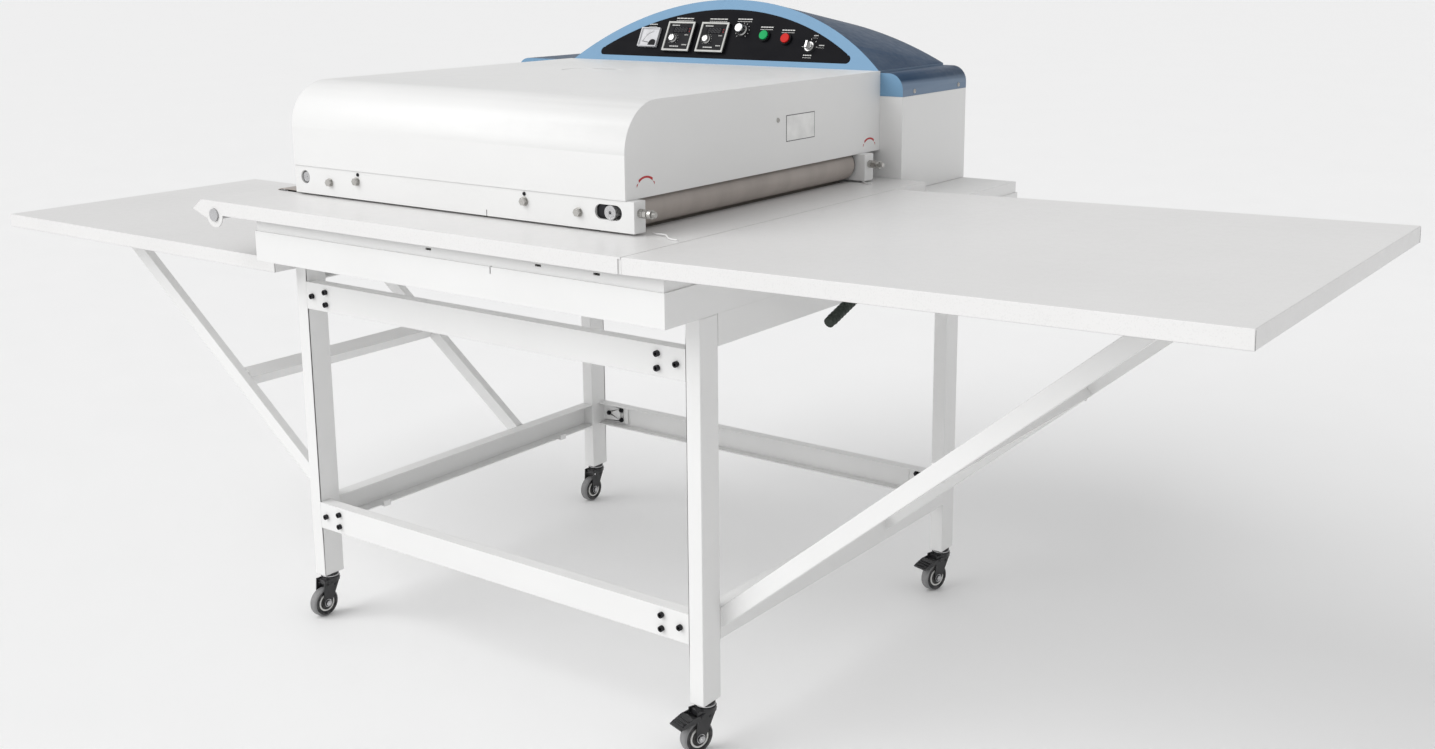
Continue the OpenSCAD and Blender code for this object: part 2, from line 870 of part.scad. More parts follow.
// Draw screw along X at the right end of a head rail, with two nuts.
module tension_screw(y) {
  bar_x(y, 919, 4.9, slot_right + 1, head_right + 34);
  for (x = [head_right, head_right + 9])
    translate([x, y, 919])
      rotate([0, 90, 0])
        cylinder(r = 8, h = 8, $fn = 6);
  bar_x(y, 919, 8, head_right + 20, head_right + 27);
}

// ---------------------------------------------------------------- cabinet and controls

module rear_cabinet() {
  color(white)
    difference() {
      block(cab_left, cab_right, cab_front, cab_back, skirt_top + 24, cab_top);
      block(cab_left + cab_wall, cab_right - cab_wall, cab_front + cab_wall, cab_back - cab_wall,
        skirt_top + 26, cab_top + 1);
      bar_y(gland_x, gland_z, gland_r + fit, cab_back - 10, cab_back + 1);
      bar_y(drive_x, upper_z, shaft_r + 4, cab_front - 1, cab_front + cab_wall + 1);
      for (i = [0 : 7])
        block(-420 + 70 * i, -380 + 70 * i, cab_back - cab_wall - 1, cab_back + 1, 900, 906);
    }
}

// Gland for the supply cable: hex body outside, lock nut inside, bored through.
module cable_gland() {
  color(black)
    difference() {
      union() {
        bar_y(gland_x, gland_z, gland_r, cab_back - 12, cab_back + 4);
        hex_y(gland_x, gland_z, 15, cab_back, cab_back + 8);
        bar_y(gland_x, gland_z, 12, cab_back + 7, cab_back + gland_out);
        hex_y(gland_x, gland_z, 15, cab_back - cab_wall - 6, cab_back - cab_wall);
      }
      bar_y(gland_x, gland_z, 6, cab_back - 13, cab_back + gland_out + 1);
    }
}

module hex_y(x, z, r, y0, y1) {
  translate([x, y0, z])
    rotate([-90, 0, 0])
      cylinder(r = r, h = y1 - y0, $fn = 6);
}

// Outline of the control cover seen from the front: two shoulders and the arch between.
module shoulder_outline(inset) {
  r = shoulder_r - inset;
  x0 = cab_left + inset;
  x1 = cab_right - inset;
  z1 = shoulder_z - inset;
  translate([x0, cab_top])
    square([x1 - x0, z1 - r - cab_top]);
  translate([x0 + r, cab_top])
    square([x1 - x0 - 2 * r, z1 - cab_top]);
  intersection() {
    translate([x0, cab_top])
      square([x1 - x0, z1 - cab_top]);
    union() {
      translate([x0 + r, z1 - r])
        circle(r = r);
      translate([x1 - r, z1 - r])
        circle(r = r);
    }
  }
}

// Extrudes an X-Z outline along Y from y0 to y1.
module along_y(y0, y1) {
  translate([0, y1, 0])
    rotate([90, 0, 0])
      linear_extrude(height = y1 - y0)
        children();
}

// Leans what is drawn on an upright front face back about its lower edge.
module on_control_face() {
  translate([0, cab_front, arch_foot_z])
    rotate([-panel_lean, 0, 0])
      translate([0, -cab_front, -arch_foot_z])
        children();
}

// Points of an arc of the given rise over the arch's chord, its foot at height low.
function arch_arc(rise, low) =
  let (r = (arch_half * arch_half + rise * rise) / (2 * rise), top = acos((r - rise) / r))
  [for (i = [0 : arch_steps]) let (a = top * (1 - 2 * i / arch_steps))
    [arch_x + r * sin(a), low + r * cos(a) - (r - rise)]];

// The arch: a leaning arc at the front drawn back to a lower upright arc, its skin sunk by
// the drop and its ends brought in by the wall.
module arch_body(drop, wall) {
  hull() {
    on_control_face()
      along_y(cab_front + wall, cab_front + wall + 1)
        arch_plate(arch_rise, drop);
    along_y(cab_back - 1 - wall, cab_back - wall)
      arch_plate(back_rise, drop);
  }
}

module arch_plate(rise, drop) {
  polygon(concat(arch_arc(rise, arch_foot_z - drop),
    [[arch_x - arch_half, cab_top + 20], [arch_x + arch_half, cab_top + 20]]));
}

module control_cover() {
  y0 = cab_front + cover_wall;
  y1 = cab_back - sheet;
  color(blue)
    difference() {
      union() {
        along_y(cab_front, cab_back)
          shoulder_outline(0);
        intersection() {
          arch_body(0, 0);
          block(cab_left, cab_right, cab_front, cab_back, cab_top + 25, 1400);
        }
      }
      along_y(y0, y1)
        shoulder_outline(sheet);
      intersection() {
        arch_body(sheet, cover_wall);
        block(arch_x - arch_half + 4, arch_x + arch_half - 4, y0, y1, cab_top + 26, 1400);
      }
      block(cab_left + sheet, cab_right - sheet, y0, y1, cab_top - 1, cab_top + 4);
      on_control_face() {
        along_y(cab_front - 1, panel_face + panel_t)
          panel_outline(0);
        along_y(cab_front, cab_front + 12)
          panel_outline(8);
      }
    }
}

// The black lens-shaped control panel: an arc over a straight lower edge, corners rounded.
module panel_outline(inset) {
  r = panel_r - inset;
  low = panel_low + inset;
  c = panel_corner;
  reach = sqrt(pow(r - c, 2) - pow(low + c - arch_cz, 2));
  intersection() {
    translate([arch_x, arch_cz])
      circle(r = r, $fn = 240);
    translate([arch_x - reach, low])
      square([2 * reach, 200]);
  }
  for (s = [-1, 1])
    translate([arch_x + s * reach, low + c])
      circle(r = c);
}

module control_panel() {
  color(black)
    difference() {
      along_y(panel_face, panel_face + panel_t)
        panel_outline(0.3);
      block(meter_x - 22, meter_x + 22, cab_front, cab_front + 10, meter_z - 20, meter_z + 20);
      for (x = unit_x)
        block(x - body_half_w - body_gap, x + body_half_w + body_gap, cab_front, cab_front + 10,
          unit_z - body_half_h - body_gap, unit_z + body_half_h + body_gap);
      for (p = [[speed_x, speed_z], [selector_x, selector_z]])
        bar_y(p[0], p[1], knob_r + fit, cab_front - 1, cab_front + 10);
      for (p = [[start_x, start_z], [stop_x, stop_z]])
        bar_y(p[0], p[1], 8 + fit, cab_front - 1, cab_front + 10);
    }
}

// Analogue current meter: bezel, face window and rear body, with a pocket for the needle.
module ammeter() {
  color([0.95, 0.95, 0.94])
    difference() {
      union() {
        block(meter_x - 27, meter_x + 27, panel_face - 7, panel_face, meter_z - 23.5, meter_z + 23.5);
        block(meter_x - 21.5, meter_x + 21.5, panel_face - 1, panel_face + 30,
          meter_z - 19.5, meter_z + 19.5);
      }
      block(meter_x - 24.5, meter_x + 24.5, panel_face - 8, panel_face - 4, meter_z - 21, meter_z + 21);
      bar_y(meter_x + 14, meter_z - 15, 1.5 + fit, panel_face - 8, panel_face + 6);
    }
}

// Needle of the current meter, at rest on zero at the left of its scale.
module ammeter_needle() {
  color([0.1, 0.1, 0.1])
    union() {
      bar_y(meter_x + 14, meter_z - 15, 1.5, panel_face - 6, panel_face + 4);
      translate([meter_x + 14, panel_face - 5, meter_z - 15])
        rotate([0, 9, 0])
          translate([-31, 0, -0.5])
            cube([33, 0.8, 1]);
    }
}

// The two temperature controllers, each a bezel with a face and a body behind the panel.
module temperature_controllers() {
  color([0.12, 0.12, 0.13])
    for (x = unit_x)
      difference() {
        union() {
          block(x - unit_w / 2, x + unit_w / 2, panel_face - 9, panel_face,
            unit_z - unit_h / 2, unit_z + unit_h / 2);
          block(x - body_half_w, x + body_half_w, panel_face - 1, panel_face + 60,
            unit_z - body_half_h, unit_z + body_half_h);
        }
        block(x - unit_w / 2 + 4, x + unit_w / 2 - 4, panel_face - 10, panel_face - 6.5,
          unit_z - unit_h / 2 + 4, unit_z + unit_h / 2 - 4);
        bar_y(x + temp_knob_dx, unit_z + temp_knob_dz, 3 + fit, panel_face - 8, panel_face + 8);
      }
}

// Round knob facing the front with a grip skirt and a pointer groove.
module knob(x, z, face, r, h, stem, depth) {
  difference() {
    union() {
      bar_y(x, z, stem, face - 1, face + depth);
      bar_y(x, z, r, face - h * 0.35, face);
      bar_y(x, z, r * 0.8, face - h, face - h * 0.3);
    }
    block(x - 0.6, x + 0.6, face - h - 1, face - h + 1, z, z + r);
  }
}

module temperature_knob(i) {
  color([0.85, 0.85, 0.85])
    knob(unit_x[i] + temp_knob_dx, unit_z + temp_knob_dz, panel_face - 7, 10, 9, 3, 10);
}

module speed_knob() {
  color([0.85, 0.85, 0.85])
    knob(speed_x, speed_z, panel_face - 0.5, 13, 18, knob_r, 16);
}

module selector_knob() {
  color(steel)
    union() {
      knob(selector_x, selector_z, panel_face - 0.5, 11, 8, knob_r, 16);
      block(selector_x - 2.5, selector_x + 2.5, panel_face - 17, panel_face - 8,
        selector_z - 8, selector_z + 8);
    }
}

// Push button cap with its stem through the panel and a stop collar behind it.
module push_button(x, z, tint) {
  color(tint)
    union() {
      bar_y(x, z, 10.5, panel_face - 9, panel_face - 4.5);
      bar_y(x, z, 8, panel_face - 5, panel_face + 10);
      bar_y(x, z, 10, panel_face + 7, panel_face + 10);
    }
}

// Gearmotor in the cabinet, its hollow output bored for the head's drive shaft.
module drive_motor() {
  color([0.3, 0.32, 0.34])
    difference() {
      union() {
        block(drive_x - 45, drive_x + 45, cab_front + cab_wall, cab_front + 64, 862, 972);
        bar_y(drive_x, 920, 42, cab_front + 60, cab_front + 210);
        bar_y(drive_x, 920, 46, cab_front + 190, cab_front + 214);
        block(drive_x - 40, drive_x + 40, cab_front + cab_wall, cab_front + 60, skirt_top + 26, 864);
      }
      bar_y(drive_x, upper_z, shaft_r + fit, cab_front - 1, cab_front + 62);
    }
}

// Pressure lever on the right wall: cross shaft, boss, sloping rod and grip.
module pressure_lever() {
  dy = lever_tip_y - lever_y;
  dz = lever_tip_z - lever_z;
  len = sqrt(dy * dy + dz * dz);
  lean = atan2(dz, -dy);
  color(black)
    union() {
      bar_x(lever_y, lever_z, lever_shaft_r, half_w - 20, lever_x + 8);
      bar_x(lever_y, lever_z, 14, lever_x - 10, lever_x + 10);
      bar_x(lever_y, lever_z, 13, half_w + 0.4, half_w + 6);
      translate([lever_x, lever_y, lever_z])
        rotate([90 - lean, 0, 0])
          union() {
            cylinder(r = lever_r, h = len - 10);
            translate([0, 0, len - grip_len])
              cylinder(r = grip_r, h = grip_len);
            translate([0, 0, len - grip_len])
              cylinder(r = grip_r + 2, h = 5);
          }
    }
}

// Moves the drawing so that the origin is under the middle of the footprint.
module placed() {
  translate([-(box_left + box_right) / 2, -(box_front + box_back) / 2, 0])
    children();
}

placed() leg(-1, -1);  // leg_front_left
placed() leg(1, -1);  // leg_front_right
placed() leg(-1, 1);  // leg_rear_left
placed() leg(1, 1);  // leg_rear_right
placed() cross_beam(upper_beam_z, -1);  // upper_front_beam
placed() cross_beam(upper_beam_z, 1);  // upper_rear_beam
placed() cross_beam(lower_beam_z, -1);  // lower_front_beam
placed() cross_beam(lower_beam_z, 1);  // lower_rear_beam
placed() side_rail(leg_top_z, -1, false);  // upper_left_rail
placed() side_rail(leg_top_z, 1, false);  // upper_right_rail
placed() side_rail(lower_beam_z, -1, true);  // lower_left_rail
placed() side_rail(lower_beam_z, 1, true);  // lower_right_rail
placed() stand_bolts();
placed() caster_fork(-1, -1, trail_front_left);  // caster_fork_front_left
placed() caster_fork(1, -1, trail_front_right);  // caster_fork_front_right
placed() caster_fork(-1, 1, trail_rear_left);  // caster_fork_rear_left
placed() caster_fork(1, 1, trail_rear_right);  // caster_fork_rear_right
placed() caster_wheel(-1, -1, trail_front_left);  // caster_wheel_front_left
placed() caster_wheel(1, -1, trail_front_right);  // caster_wheel_front_right
placed() caster_wheel(-1, 1, trail_rear_left);  // caster_wheel_rear_left
placed() caster_wheel(1, 1, trail_rear_right);  // caster_wheel_rear_right
placed() brake_pedal(1, -1, trail_front_right);  // brake_pedal_front_right
placed() brake_pedal(1, 1, trail_rear_right);  // brake_pedal_rear_right
placed() left_table();
placed() right_table();
placed() left_arm(arm_y_front);  // left_brace_front_arm
placed() left_arm(arm_y_rear);  // left_brace_rear_arm
placed() right_arm(arm_y_front);  // right_brace_front_arm
placed() right_arm(arm_y_rear);  // right_brace_rear_arm
placed() brace_crossbars();
placed() cable_gland();
placed() pressure_lever();
placed() base_box();
placed() deck();
placed() lower_belt();
placed() lower_drive_roller();
placed() lower_nose_roller();
placed() lower_return_roller();
placed() lower_heater();
placed() head_front_rail();
placed() head_rear_rail();
placed() hood();
placed() upper_belt();
placed() upper_drive_roller();
placed() upper_tension_roller();
placed() upper_heater();
placed() head_bolts();
placed() rear_cabinet();
placed() control_cover();
placed() on_control_face() control_panel();
placed() on_control_face() ammeter();
placed() on_control_face() ammeter_needle();
placed() on_control_face() temperature_controllers();
placed() on_control_face() temperature_knob(0);  // temperature_knob_upper
placed() on_control_face() temperature_knob(1);  // temperature_knob_lower
placed() on_control_face() speed_knob();
placed() on_control_face() push_button(start_x, start_z, [0.1, 0.7, 0.3]);  // start_button
placed() on_control_face() push_button(stop_x, stop_z, [0.8, 0.12, 0.1]);  // stop_button
placed() on_control_face() selector_knob();
placed() drive_motor();
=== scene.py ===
import json
import math

import bmesh
import bpy
from mathutils import Matrix, Vector


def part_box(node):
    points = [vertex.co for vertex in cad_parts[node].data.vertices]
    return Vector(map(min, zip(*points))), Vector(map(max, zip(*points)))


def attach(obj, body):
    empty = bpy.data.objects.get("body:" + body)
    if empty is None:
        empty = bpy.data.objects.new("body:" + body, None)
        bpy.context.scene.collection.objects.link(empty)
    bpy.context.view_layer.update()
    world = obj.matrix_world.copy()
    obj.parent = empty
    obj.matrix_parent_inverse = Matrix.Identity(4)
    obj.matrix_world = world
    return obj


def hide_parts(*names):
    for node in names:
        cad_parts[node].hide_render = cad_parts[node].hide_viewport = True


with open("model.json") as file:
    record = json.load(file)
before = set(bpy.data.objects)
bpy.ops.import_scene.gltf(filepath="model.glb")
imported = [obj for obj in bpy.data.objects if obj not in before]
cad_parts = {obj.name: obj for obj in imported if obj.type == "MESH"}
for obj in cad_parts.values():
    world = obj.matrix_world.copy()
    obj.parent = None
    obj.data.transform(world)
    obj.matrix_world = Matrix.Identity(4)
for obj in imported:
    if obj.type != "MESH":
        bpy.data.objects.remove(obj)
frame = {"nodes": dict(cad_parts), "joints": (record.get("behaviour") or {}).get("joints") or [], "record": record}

nodes = frame["nodes"]
joints = {joint["name"]: joint for joint in frame["joints"]}
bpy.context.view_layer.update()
MACHINE = "machine"
CORNERS = ("front_left", "front_right", "rear_left", "rear_right")

# Camera: place in metres from the floor under the middle of the stand, angles in degrees,
# lens in millimetres on a 36 mm wide sensor.
CAMERA_PLACE = (1.9485, -2.3599, 1.3392)
CAMERA_AZIMUTH = -36.36
CAMERA_PITCH = 12.04
CAMERA_ROLL = 0.47
CAMERA_LENS = 38.34
CAMERA_SHIFT = (-0.0004, -0.0633)

# Paint and part colours, linear RGB.
WHITE_PAINT = (0.83, 0.83, 0.825)
TABLE_PAINT = (0.80, 0.795, 0.79)
FRONT_BLUE = (0.195, 0.355, 0.53)
TOP_SLATE = (0.030, 0.064, 0.122)
SIDE_SLATE = (0.20, 0.27, 0.37)
PRINT_WHITE = (0.78, 0.78, 0.76)
BLACK = (0.012, 0.012, 0.014)
STEEL = (0.55, 0.55, 0.56)
ZINC = (0.50, 0.49, 0.47)
SILVER = (0.60, 0.60, 0.595)

# Light and floor: half the floor's width in metres, the surround's strength, and the sun's source,
# angular width in radians and strength.
FLOOR_REACH = 200.0
SURROUND_STRENGTH = 0.62
SUN_SOURCE = (-0.50, -0.64, 0.58)
SUN_WIDTH = 0.9
SUN_STRENGTH = 1.75

# Caster wheel: the radius its bands are measured against, then each band's inner radius and colour.
WHEEL_REACH = 0.032
WHEEL_BANDS = (
    (0.0, STEEL), (0.0085, (0.02, 0.02, 0.02)), (0.0151, (0.75, 0.75, 0.73)),
    (0.0184, (0.018, 0.018, 0.02)), (0.0265, (0.22, 0.22, 0.225)),
)
# Threads per metre of the belt's weave.
WEAVE_PITCH = 620.0

# Head: screws over the tie bolts (X from the stand's middle, Z), and the draw screws' height, reach of
# thread from the rail's end, radius and wire radius of the thread, and turns in each stretch.
RAIL_SCREWS = ((-0.355, 0.9335), (0.085, 0.9335))
DRAW_SCREW_Z = 0.919
DRAW_SCREW_STRETCHES = ((0.0172, 0.0198), (0.0273, 0.0334))
THREAD_RADIUS = 0.0052
THREAD_WIRE = 0.0006
THREAD_TURNS = 4

# Hood side, Y from the stand's middle: the screw, the blank plate with its rim, the turning marks.
HOOD_SCREW = (0.05, 1.036)
PLATE_Y = (0.078, 0.1786)
PLATE_Z = (0.9918, 1.0429)
PLATE_RIM = 0.0015
TURNING_MARKS = ((-0.352, 0.958), (0.389, 0.951))
# Half the thickness of a printed mark, which straddles the face it lies on.
DECAL_HALF = 0.0002

# Deck wires: name, then start and end (X, Y from the stand's middle).
DECK_WIRES = (
    ("wire_front", (0.341, -0.362), (0.419, -0.398)),
    ("wire_rear", (0.296, 0.362), (0.358, 0.330)),
)
WIRE_RADIUS = 0.0014

# Width of the table braces' tube, seen from the front.
BRACE_WIDTH = 0.030

# Half the width of one temperature controller.
CONTROLLER_HALF = 0.038
# Current meter: radius of the scale's arc and the angles of its two ends, in degrees.
SCALE_RADIUS = 0.0290
SCALE_START = 100
SCALE_END = 172


# ------------------------------------------------------------------ places

def middle(node):
    """The middle of a node's box."""
    low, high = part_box(node)
    return (low + high) / 2


def stand_middle():
    """The floor spot under the middle of the four legs."""
    centre = (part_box("leg_front_left")[0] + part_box("leg_rear_right")[1]) / 2
    return Vector((centre.x, centre.y, 0.0))


STAND = stand_middle()

# The control face leans back about its lower edge, level with the top of the hood.
LEAN_AXIS = Vector(joints["speed_turn"]["axis"])
FACE_FOOT = Vector((0.0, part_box("rear_cabinet")[0].y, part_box("hood")[1].z))
LEAN = (Matrix.Translation(FACE_FOOT)
        @ Matrix.Rotation(math.atan2(LEAN_AXIS.z, LEAN_AXIS.y), 4, "X")
        @ Matrix.Translation(-FACE_FOOT))
UPRIGHT = LEAN.inverted()


def box_of(spots):
    """Lowest and highest corner of a set of points."""
    low = Vector([min(spot[i] for spot in spots) for i in range(3)])
    high = Vector([max(spot[i] for spot in spots) for i in range(3)])
    return low, high


def face_box(node):
    """A control's box as it would be if the control face stood upright."""
    return box_of([UPRIGHT @ vertex.co for vertex in nodes[node].data.vertices])


def face_middle(node):
    """The middle of a control as if the control face stood upright."""
    low, high = face_box(node)
    return (low + high) / 2


# ------------------------------------------------------------------ materials

def shade(colour, factor):
    """A colour made darker or lighter."""
    return tuple(channel * factor for channel in colour)


class Shader:
    """A principled material while its nodes are being wired."""

    def __init__(self, name, roughness=0.5, metallic=0.0):
        self.material = bpy.data.materials.new(name)
        self.material.use_nodes = True
        self.tree = self.material.node_tree
        self.surface = self.tree.nodes["Principled BSDF"]
        self.surface.inputs["Roughness"].default_value = roughness
        self.surface.inputs["Metallic"].default_value = metallic
        coordinates = self.tree.nodes.new("ShaderNodeTexCoord")
        self.position = coordinates.outputs["Object"]
        self.facing = coordinates.outputs["Normal"]

    def add(self, kind, inputs=None, **settings):
        made = self.tree.nodes.new("ShaderNode" + kind)
        for key, value in settings.items():
            setattr(made, key, value)
        for key, value in (inputs or {}).items():
            self.feed(made.inputs[key], value)
        return made

    def feed(self, socket, value):
        if isinstance(value, bpy.types.NodeSocket):
            self.tree.links.new(value, socket)
        elif isinstance(value, tuple) and len(value) == 3 and socket.type == "RGBA":
            socket.default_value = (*value, 1.0)
        else:
            socket.default_value = value

    def set(self, name, value):
        self.feed(self.surface.inputs[name], value)

    def noise(self, scale, detail=2.0, stretch=(1, 1, 1)):
        place = self.position
        if stretch != (1, 1, 1):
            place = self.add("Mapping", {"Vector": place, "Scale": stretch}).outputs[0]
        made = self.add("TexNoise", {"Vector": place, "Scale": scale, "Detail": detail})
        return made.outputs["Fac"]

    def span(self, value, low, high, out_low=0.0, out_high=1.0):
        keys = {"Value": value, "From Min": low, "From Max": high,
                "To Min": out_low, "To Max": out_high}
        return self.add("MapRange", keys).outputs[0]

    def mix(self, factor, first, second):
        """A colour mix: sockets 6 and 7 are the two colours going in, and 2 is the one coming out."""
        made = self.add("Mix", data_type="RGBA")
        self.feed(made.inputs[0], factor)
        self.feed(made.inputs[6], first)
        self.feed(made.inputs[7], second)
        return made.outputs[2]

    def math(self, operation, first, second=0.0):
        made = self.add("Math", operation=operation)
        self.feed(made.inputs[0], first)
        self.feed(made.inputs[1], second)
        return made.outputs[0]

    def vector(self, operation, first, second):
        made = self.add("VectorMath", operation=operation)
        self.feed(made.inputs[0], first)
        self.feed(made.inputs[1], second)
        return made

    def axis(self, vector, index):
        return self.add("SeparateXYZ", {0: vector}).outputs[index]

    def rounded(self, radius):
        return self.add("Bevel", {"Radius": radius}, samples=4).outputs[0]

    def edges(self, radius, strength):
        """How far the surface is an outer edge, broken up by noise: where paint thins and wears."""
        true_normal = self.add("NewGeometry").outputs["True Normal"]
        agreement = self.vector("DOT_PRODUCT", self.rounded(radius), true_normal).outputs["Value"]
        edge = self.span(agreement, 0.97, 0.78)
        patches = self.span(self.noise(38, 3), 0.42, 0.62)
        return self.math("MULTIPLY", self.math("MULTIPLY", edge, patches), strength)

    def bump(self, height, strength, distance, under=None):
        keys = {"Height": height, "Strength": strength, "Distance": distance}
        if under is not None:
            keys["Normal"] = under
        return self.add("Bump", keys).outputs[0]


def powder_coat(name, tint, roughness=0.40, speckle=0.0):
    """Textured powder coat: orange peel, faint clouding, thin edges, and a speckle on table tops."""
    s = Shader(name)
    clouds = s.noise(4.0, 3)
    colour = s.mix(s.span(clouds, 0.35, 0.65), shade(tint, 0.975), tint)
    grain = s.noise(520, 2)
    if speckle:
        fleck = s.span(s.noise(430, 1), 0.58, 0.66)
        colour = s.mix(s.math("MULTIPLY", fleck, speckle), colour, shade(tint, 0.72))
    colour = s.mix(s.edges(0.0014, 0.35), colour, shade(tint, 0.72))
    s.set("Base Color", colour)
    s.set("Roughness", s.span(s.noise(60, 2), 0.3, 0.7, roughness - 0.05, roughness + 0.07))
    s.set("Normal", s.bump(grain, 0.16, 0.0003, s.rounded(0.0009)))
    return s.material


def cover_paint(name):
    """Satin paint of the control cover: light blue front face, slate top and sides."""
    s = Shader(name)
    front = s.span(s.axis(s.facing, 1), -0.70, -0.82)
    upward = s.span(s.axis(s.facing, 2), 0.25, 0.55)
    clouds = s.span(s.noise(5, 3), 0.35, 0.65, 0.0, 0.3)
    body = s.mix(upward, SIDE_SLATE, TOP_SLATE)
    colour = s.mix(front, body, FRONT_BLUE)
    colour = s.mix(clouds, colour, s.mix(0.5, colour, SIDE_SLATE))
    colour = s.mix(s.edges(0.0012, 0.5), colour, shade(FRONT_BLUE, 1.25))
    s.set("Base Color", colour)
    s.set("Roughness", s.span(s.noise(70, 2), 0.3, 0.7, 0.33, 0.44))
    s.set("Normal", s.bump(s.noise(520), 0.12, 0.0003, s.rounded(0.001)))
    s.surface.inputs["Specular IOR Level"].default_value = 0.12
    return s.material


def metal(name, tint, roughness=0.3, brushing=(1, 1, 1), tarnish=0.25):
    """Turned, milled or plated metal: directional brushing, dull patches and brighter edges."""
    s = Shader(name, metallic=1.0)
    streaks = s.noise(240, 3, brushing)
    patches = s.span(s.noise(26, 3), 0.35, 0.7)
    colour = s.mix(s.math("MULTIPLY", patches, tarnish), tint, shade(tint, 0.55))
    colour = s.mix(s.edges(0.0008, 0.6), colour, shade(tint, 1.3))
    s.set("Base Color", colour)
    s.set("Roughness", s.span(streaks, 0.25, 0.75, roughness - 0.08, roughness + 0.14))
    s.set("Normal", s.bump(streaks, 0.08, 0.0002, s.rounded(0.0006)))
    return s.material


def plastic(name, tint, roughness=0.3, coat=0.0, grain=0.05, specular=0.5):
    """Moulded plastic: fine grain, slight clouding and handled edges."""
    s = Shader(name)
    clouds = s.span(s.noise(30, 3), 0.35, 0.65)
    colour = s.mix(clouds, tint, shade(tint, 0.86))
    colour = s.mix(s.edges(0.0008, 0.35), colour, shade(tint, 1.35))
    s.set("Base Color", colour)
    s.set("Roughness", s.span(s.noise(140, 2), 0.3, 0.7, roughness - 0.06, roughness + 0.08))
    s.set("Normal", s.bump(s.noise(900, 1), grain, 0.0002, s.rounded(0.0008)))
    s.surface.inputs["Specular IOR Level"].default_value = specular
    s.surface.inputs["Coat Weight"].default_value = coat
    s.surface.inputs["Coat Roughness"].default_value = 0.08
    return s.material


def panel_overlay(name):
    """Satin black printed overlay with a little dust and fine handling marks."""
    s = Shader(name)
    dust = s.span(s.noise(700, 2), 0.66, 0.76, 0.0, 0.35)
    smears = s.span(s.noise(18, 4, (1, 1, 2.4)), 0.45, 0.75)
    s.set("Base Color", s.mix(dust, (0.008, 0.008, 0.010), (0.05, 0.05, 0.055)))
    s.set("Roughness", s.span(smears, 0.0, 1.0, 0.34, 0.50))
    s.surface.inputs["Specular IOR Level"].default_value = 0.03
    s.set("Normal", s.bump(s.noise(160, 2), 0.03, 0.0004, s.rounded(0.0006)))
    return s.material


def belt_cloth(name, tint):
    """Coated glass-fibre belt: a plain weave under a smooth coat, faintly streaked along its run."""
    s = Shader(name)
    warp = s.math("SINE", s.math("MULTIPLY", s.axis(s.position, 0), math.pi * WEAVE_PITCH))
    weft = s.math("SINE", s.math("MULTIPLY", s.axis(s.position, 1), math.pi * WEAVE_PITCH))
    weave = s.math("MULTIPLY", warp, weft)
    stains = s.span(s.noise(7, 4, (0.35, 3, 1)), 0.35, 0.72)
    colour = s.mix(stains, tint, shade(tint, 0.86))
    colour = s.mix(s.span(weave, -1, 1, 0.0, 0.15), colour, shade(tint, 1.15))
    s.set("Base Color", colour)
    s.set("Roughness", s.span(stains, 0, 1, 0.36, 0.52))
    s.set("Normal", s.bump(weave, 0.25, 0.0003))
    return s.material


def wheel_rubber(name, joint):
    """Caster wheel banded by distance from its axle: steel hub, black core, white ring, grey tread."""
    s = Shader(name)
    centre = tuple(joint["pos_m"])
    spoke = s.vector("SUBTRACT", s.position, centre).outputs[0]
    arm = s.vector("CROSS_PRODUCT", spoke, tuple(joint["axis"])).outputs[0]
    radius = s.add("VectorMath", {0: arm}, operation="LENGTH").outputs["Value"]
    bands = s.add("ValToRGB", {"Fac": s.math("MULTIPLY", radius, 1 / WHEEL_REACH)})
    ramp = bands.color_ramp
    ramp.interpolation = "CONSTANT"
    while len(ramp.elements) < len(WHEEL_BANDS):
        ramp.elements.new(1.0)
    for element, (reach, tint) in zip(ramp.elements, WHEEL_BANDS):
        element.position = reach / WHEEL_REACH
        element.color = (*tint, 1.0)
    scuffs = s.span(s.noise(90, 4), 0.4, 0.7, 0.0, 0.4)
    s.set("Base Color", s.mix(scuffs, bands.outputs[0], s.mix(0.6, bands.outputs[0], (0.3, 0.29, 0.28))))
    s.set("Roughness", s.span(s.noise(120, 2), 0.3, 0.7, 0.42, 0.62))
    s.set("Normal", s.bump(s.noise(420, 3), 0.15, 0.0004, s.rounded(0.0008)))
    return s.material


def controller_plastic(name, bezel_depth):
    """Black controller case whose front bezel is pale silver, split by depth behind its front face."""
    s = Shader(name)
    front = face_box("temperature_controllers")[0].y - FACE_FOOT.y + FACE_FOOT.dot(LEAN_AXIS)
    depth = s.vector("DOT_PRODUCT", s.position, tuple(LEAN_AXIS)).outputs["Value"]
    pale = s.math("LESS_THAN", depth, front + bezel_depth)
    clouds = s.span(s.noise(40, 3), 0.3, 0.7)
    bezel = s.mix(clouds, (0.66, 0.66, 0.64), (0.52, 0.52, 0.50))
    case = s.mix(clouds, (0.014, 0.014, 0.016), (0.022, 0.022, 0.024))
    s.set("Base Color", s.mix(pale, case, bezel))
    s.set("Roughness", s.span(s.noise(150, 2), 0.3, 0.7, 0.36, 0.48))
    s.surface.inputs["Specular IOR Level"].default_value = 0.06
    s.set("Normal", s.bump(s.noise(900, 1), 0.05, 0.0002, s.rounded(0.0007)))
    return s.material


def floor_paint(name):
    """Plain pale floor with very faint clouding."""
    s = Shader(name)
    clouds = s.noise(1.2, 4)
    s.set("Base Color", s.mix(clouds, (0.96, 0.96, 0.96), (0.94, 0.94, 0.942)))
    s.set("Roughness", s.span(s.noise(6, 3), 0.3, 0.7, 0.55, 0.7))
    s.set("Normal", s.bump(s.noise(300), 0.05, 0.0005))
    return s.material


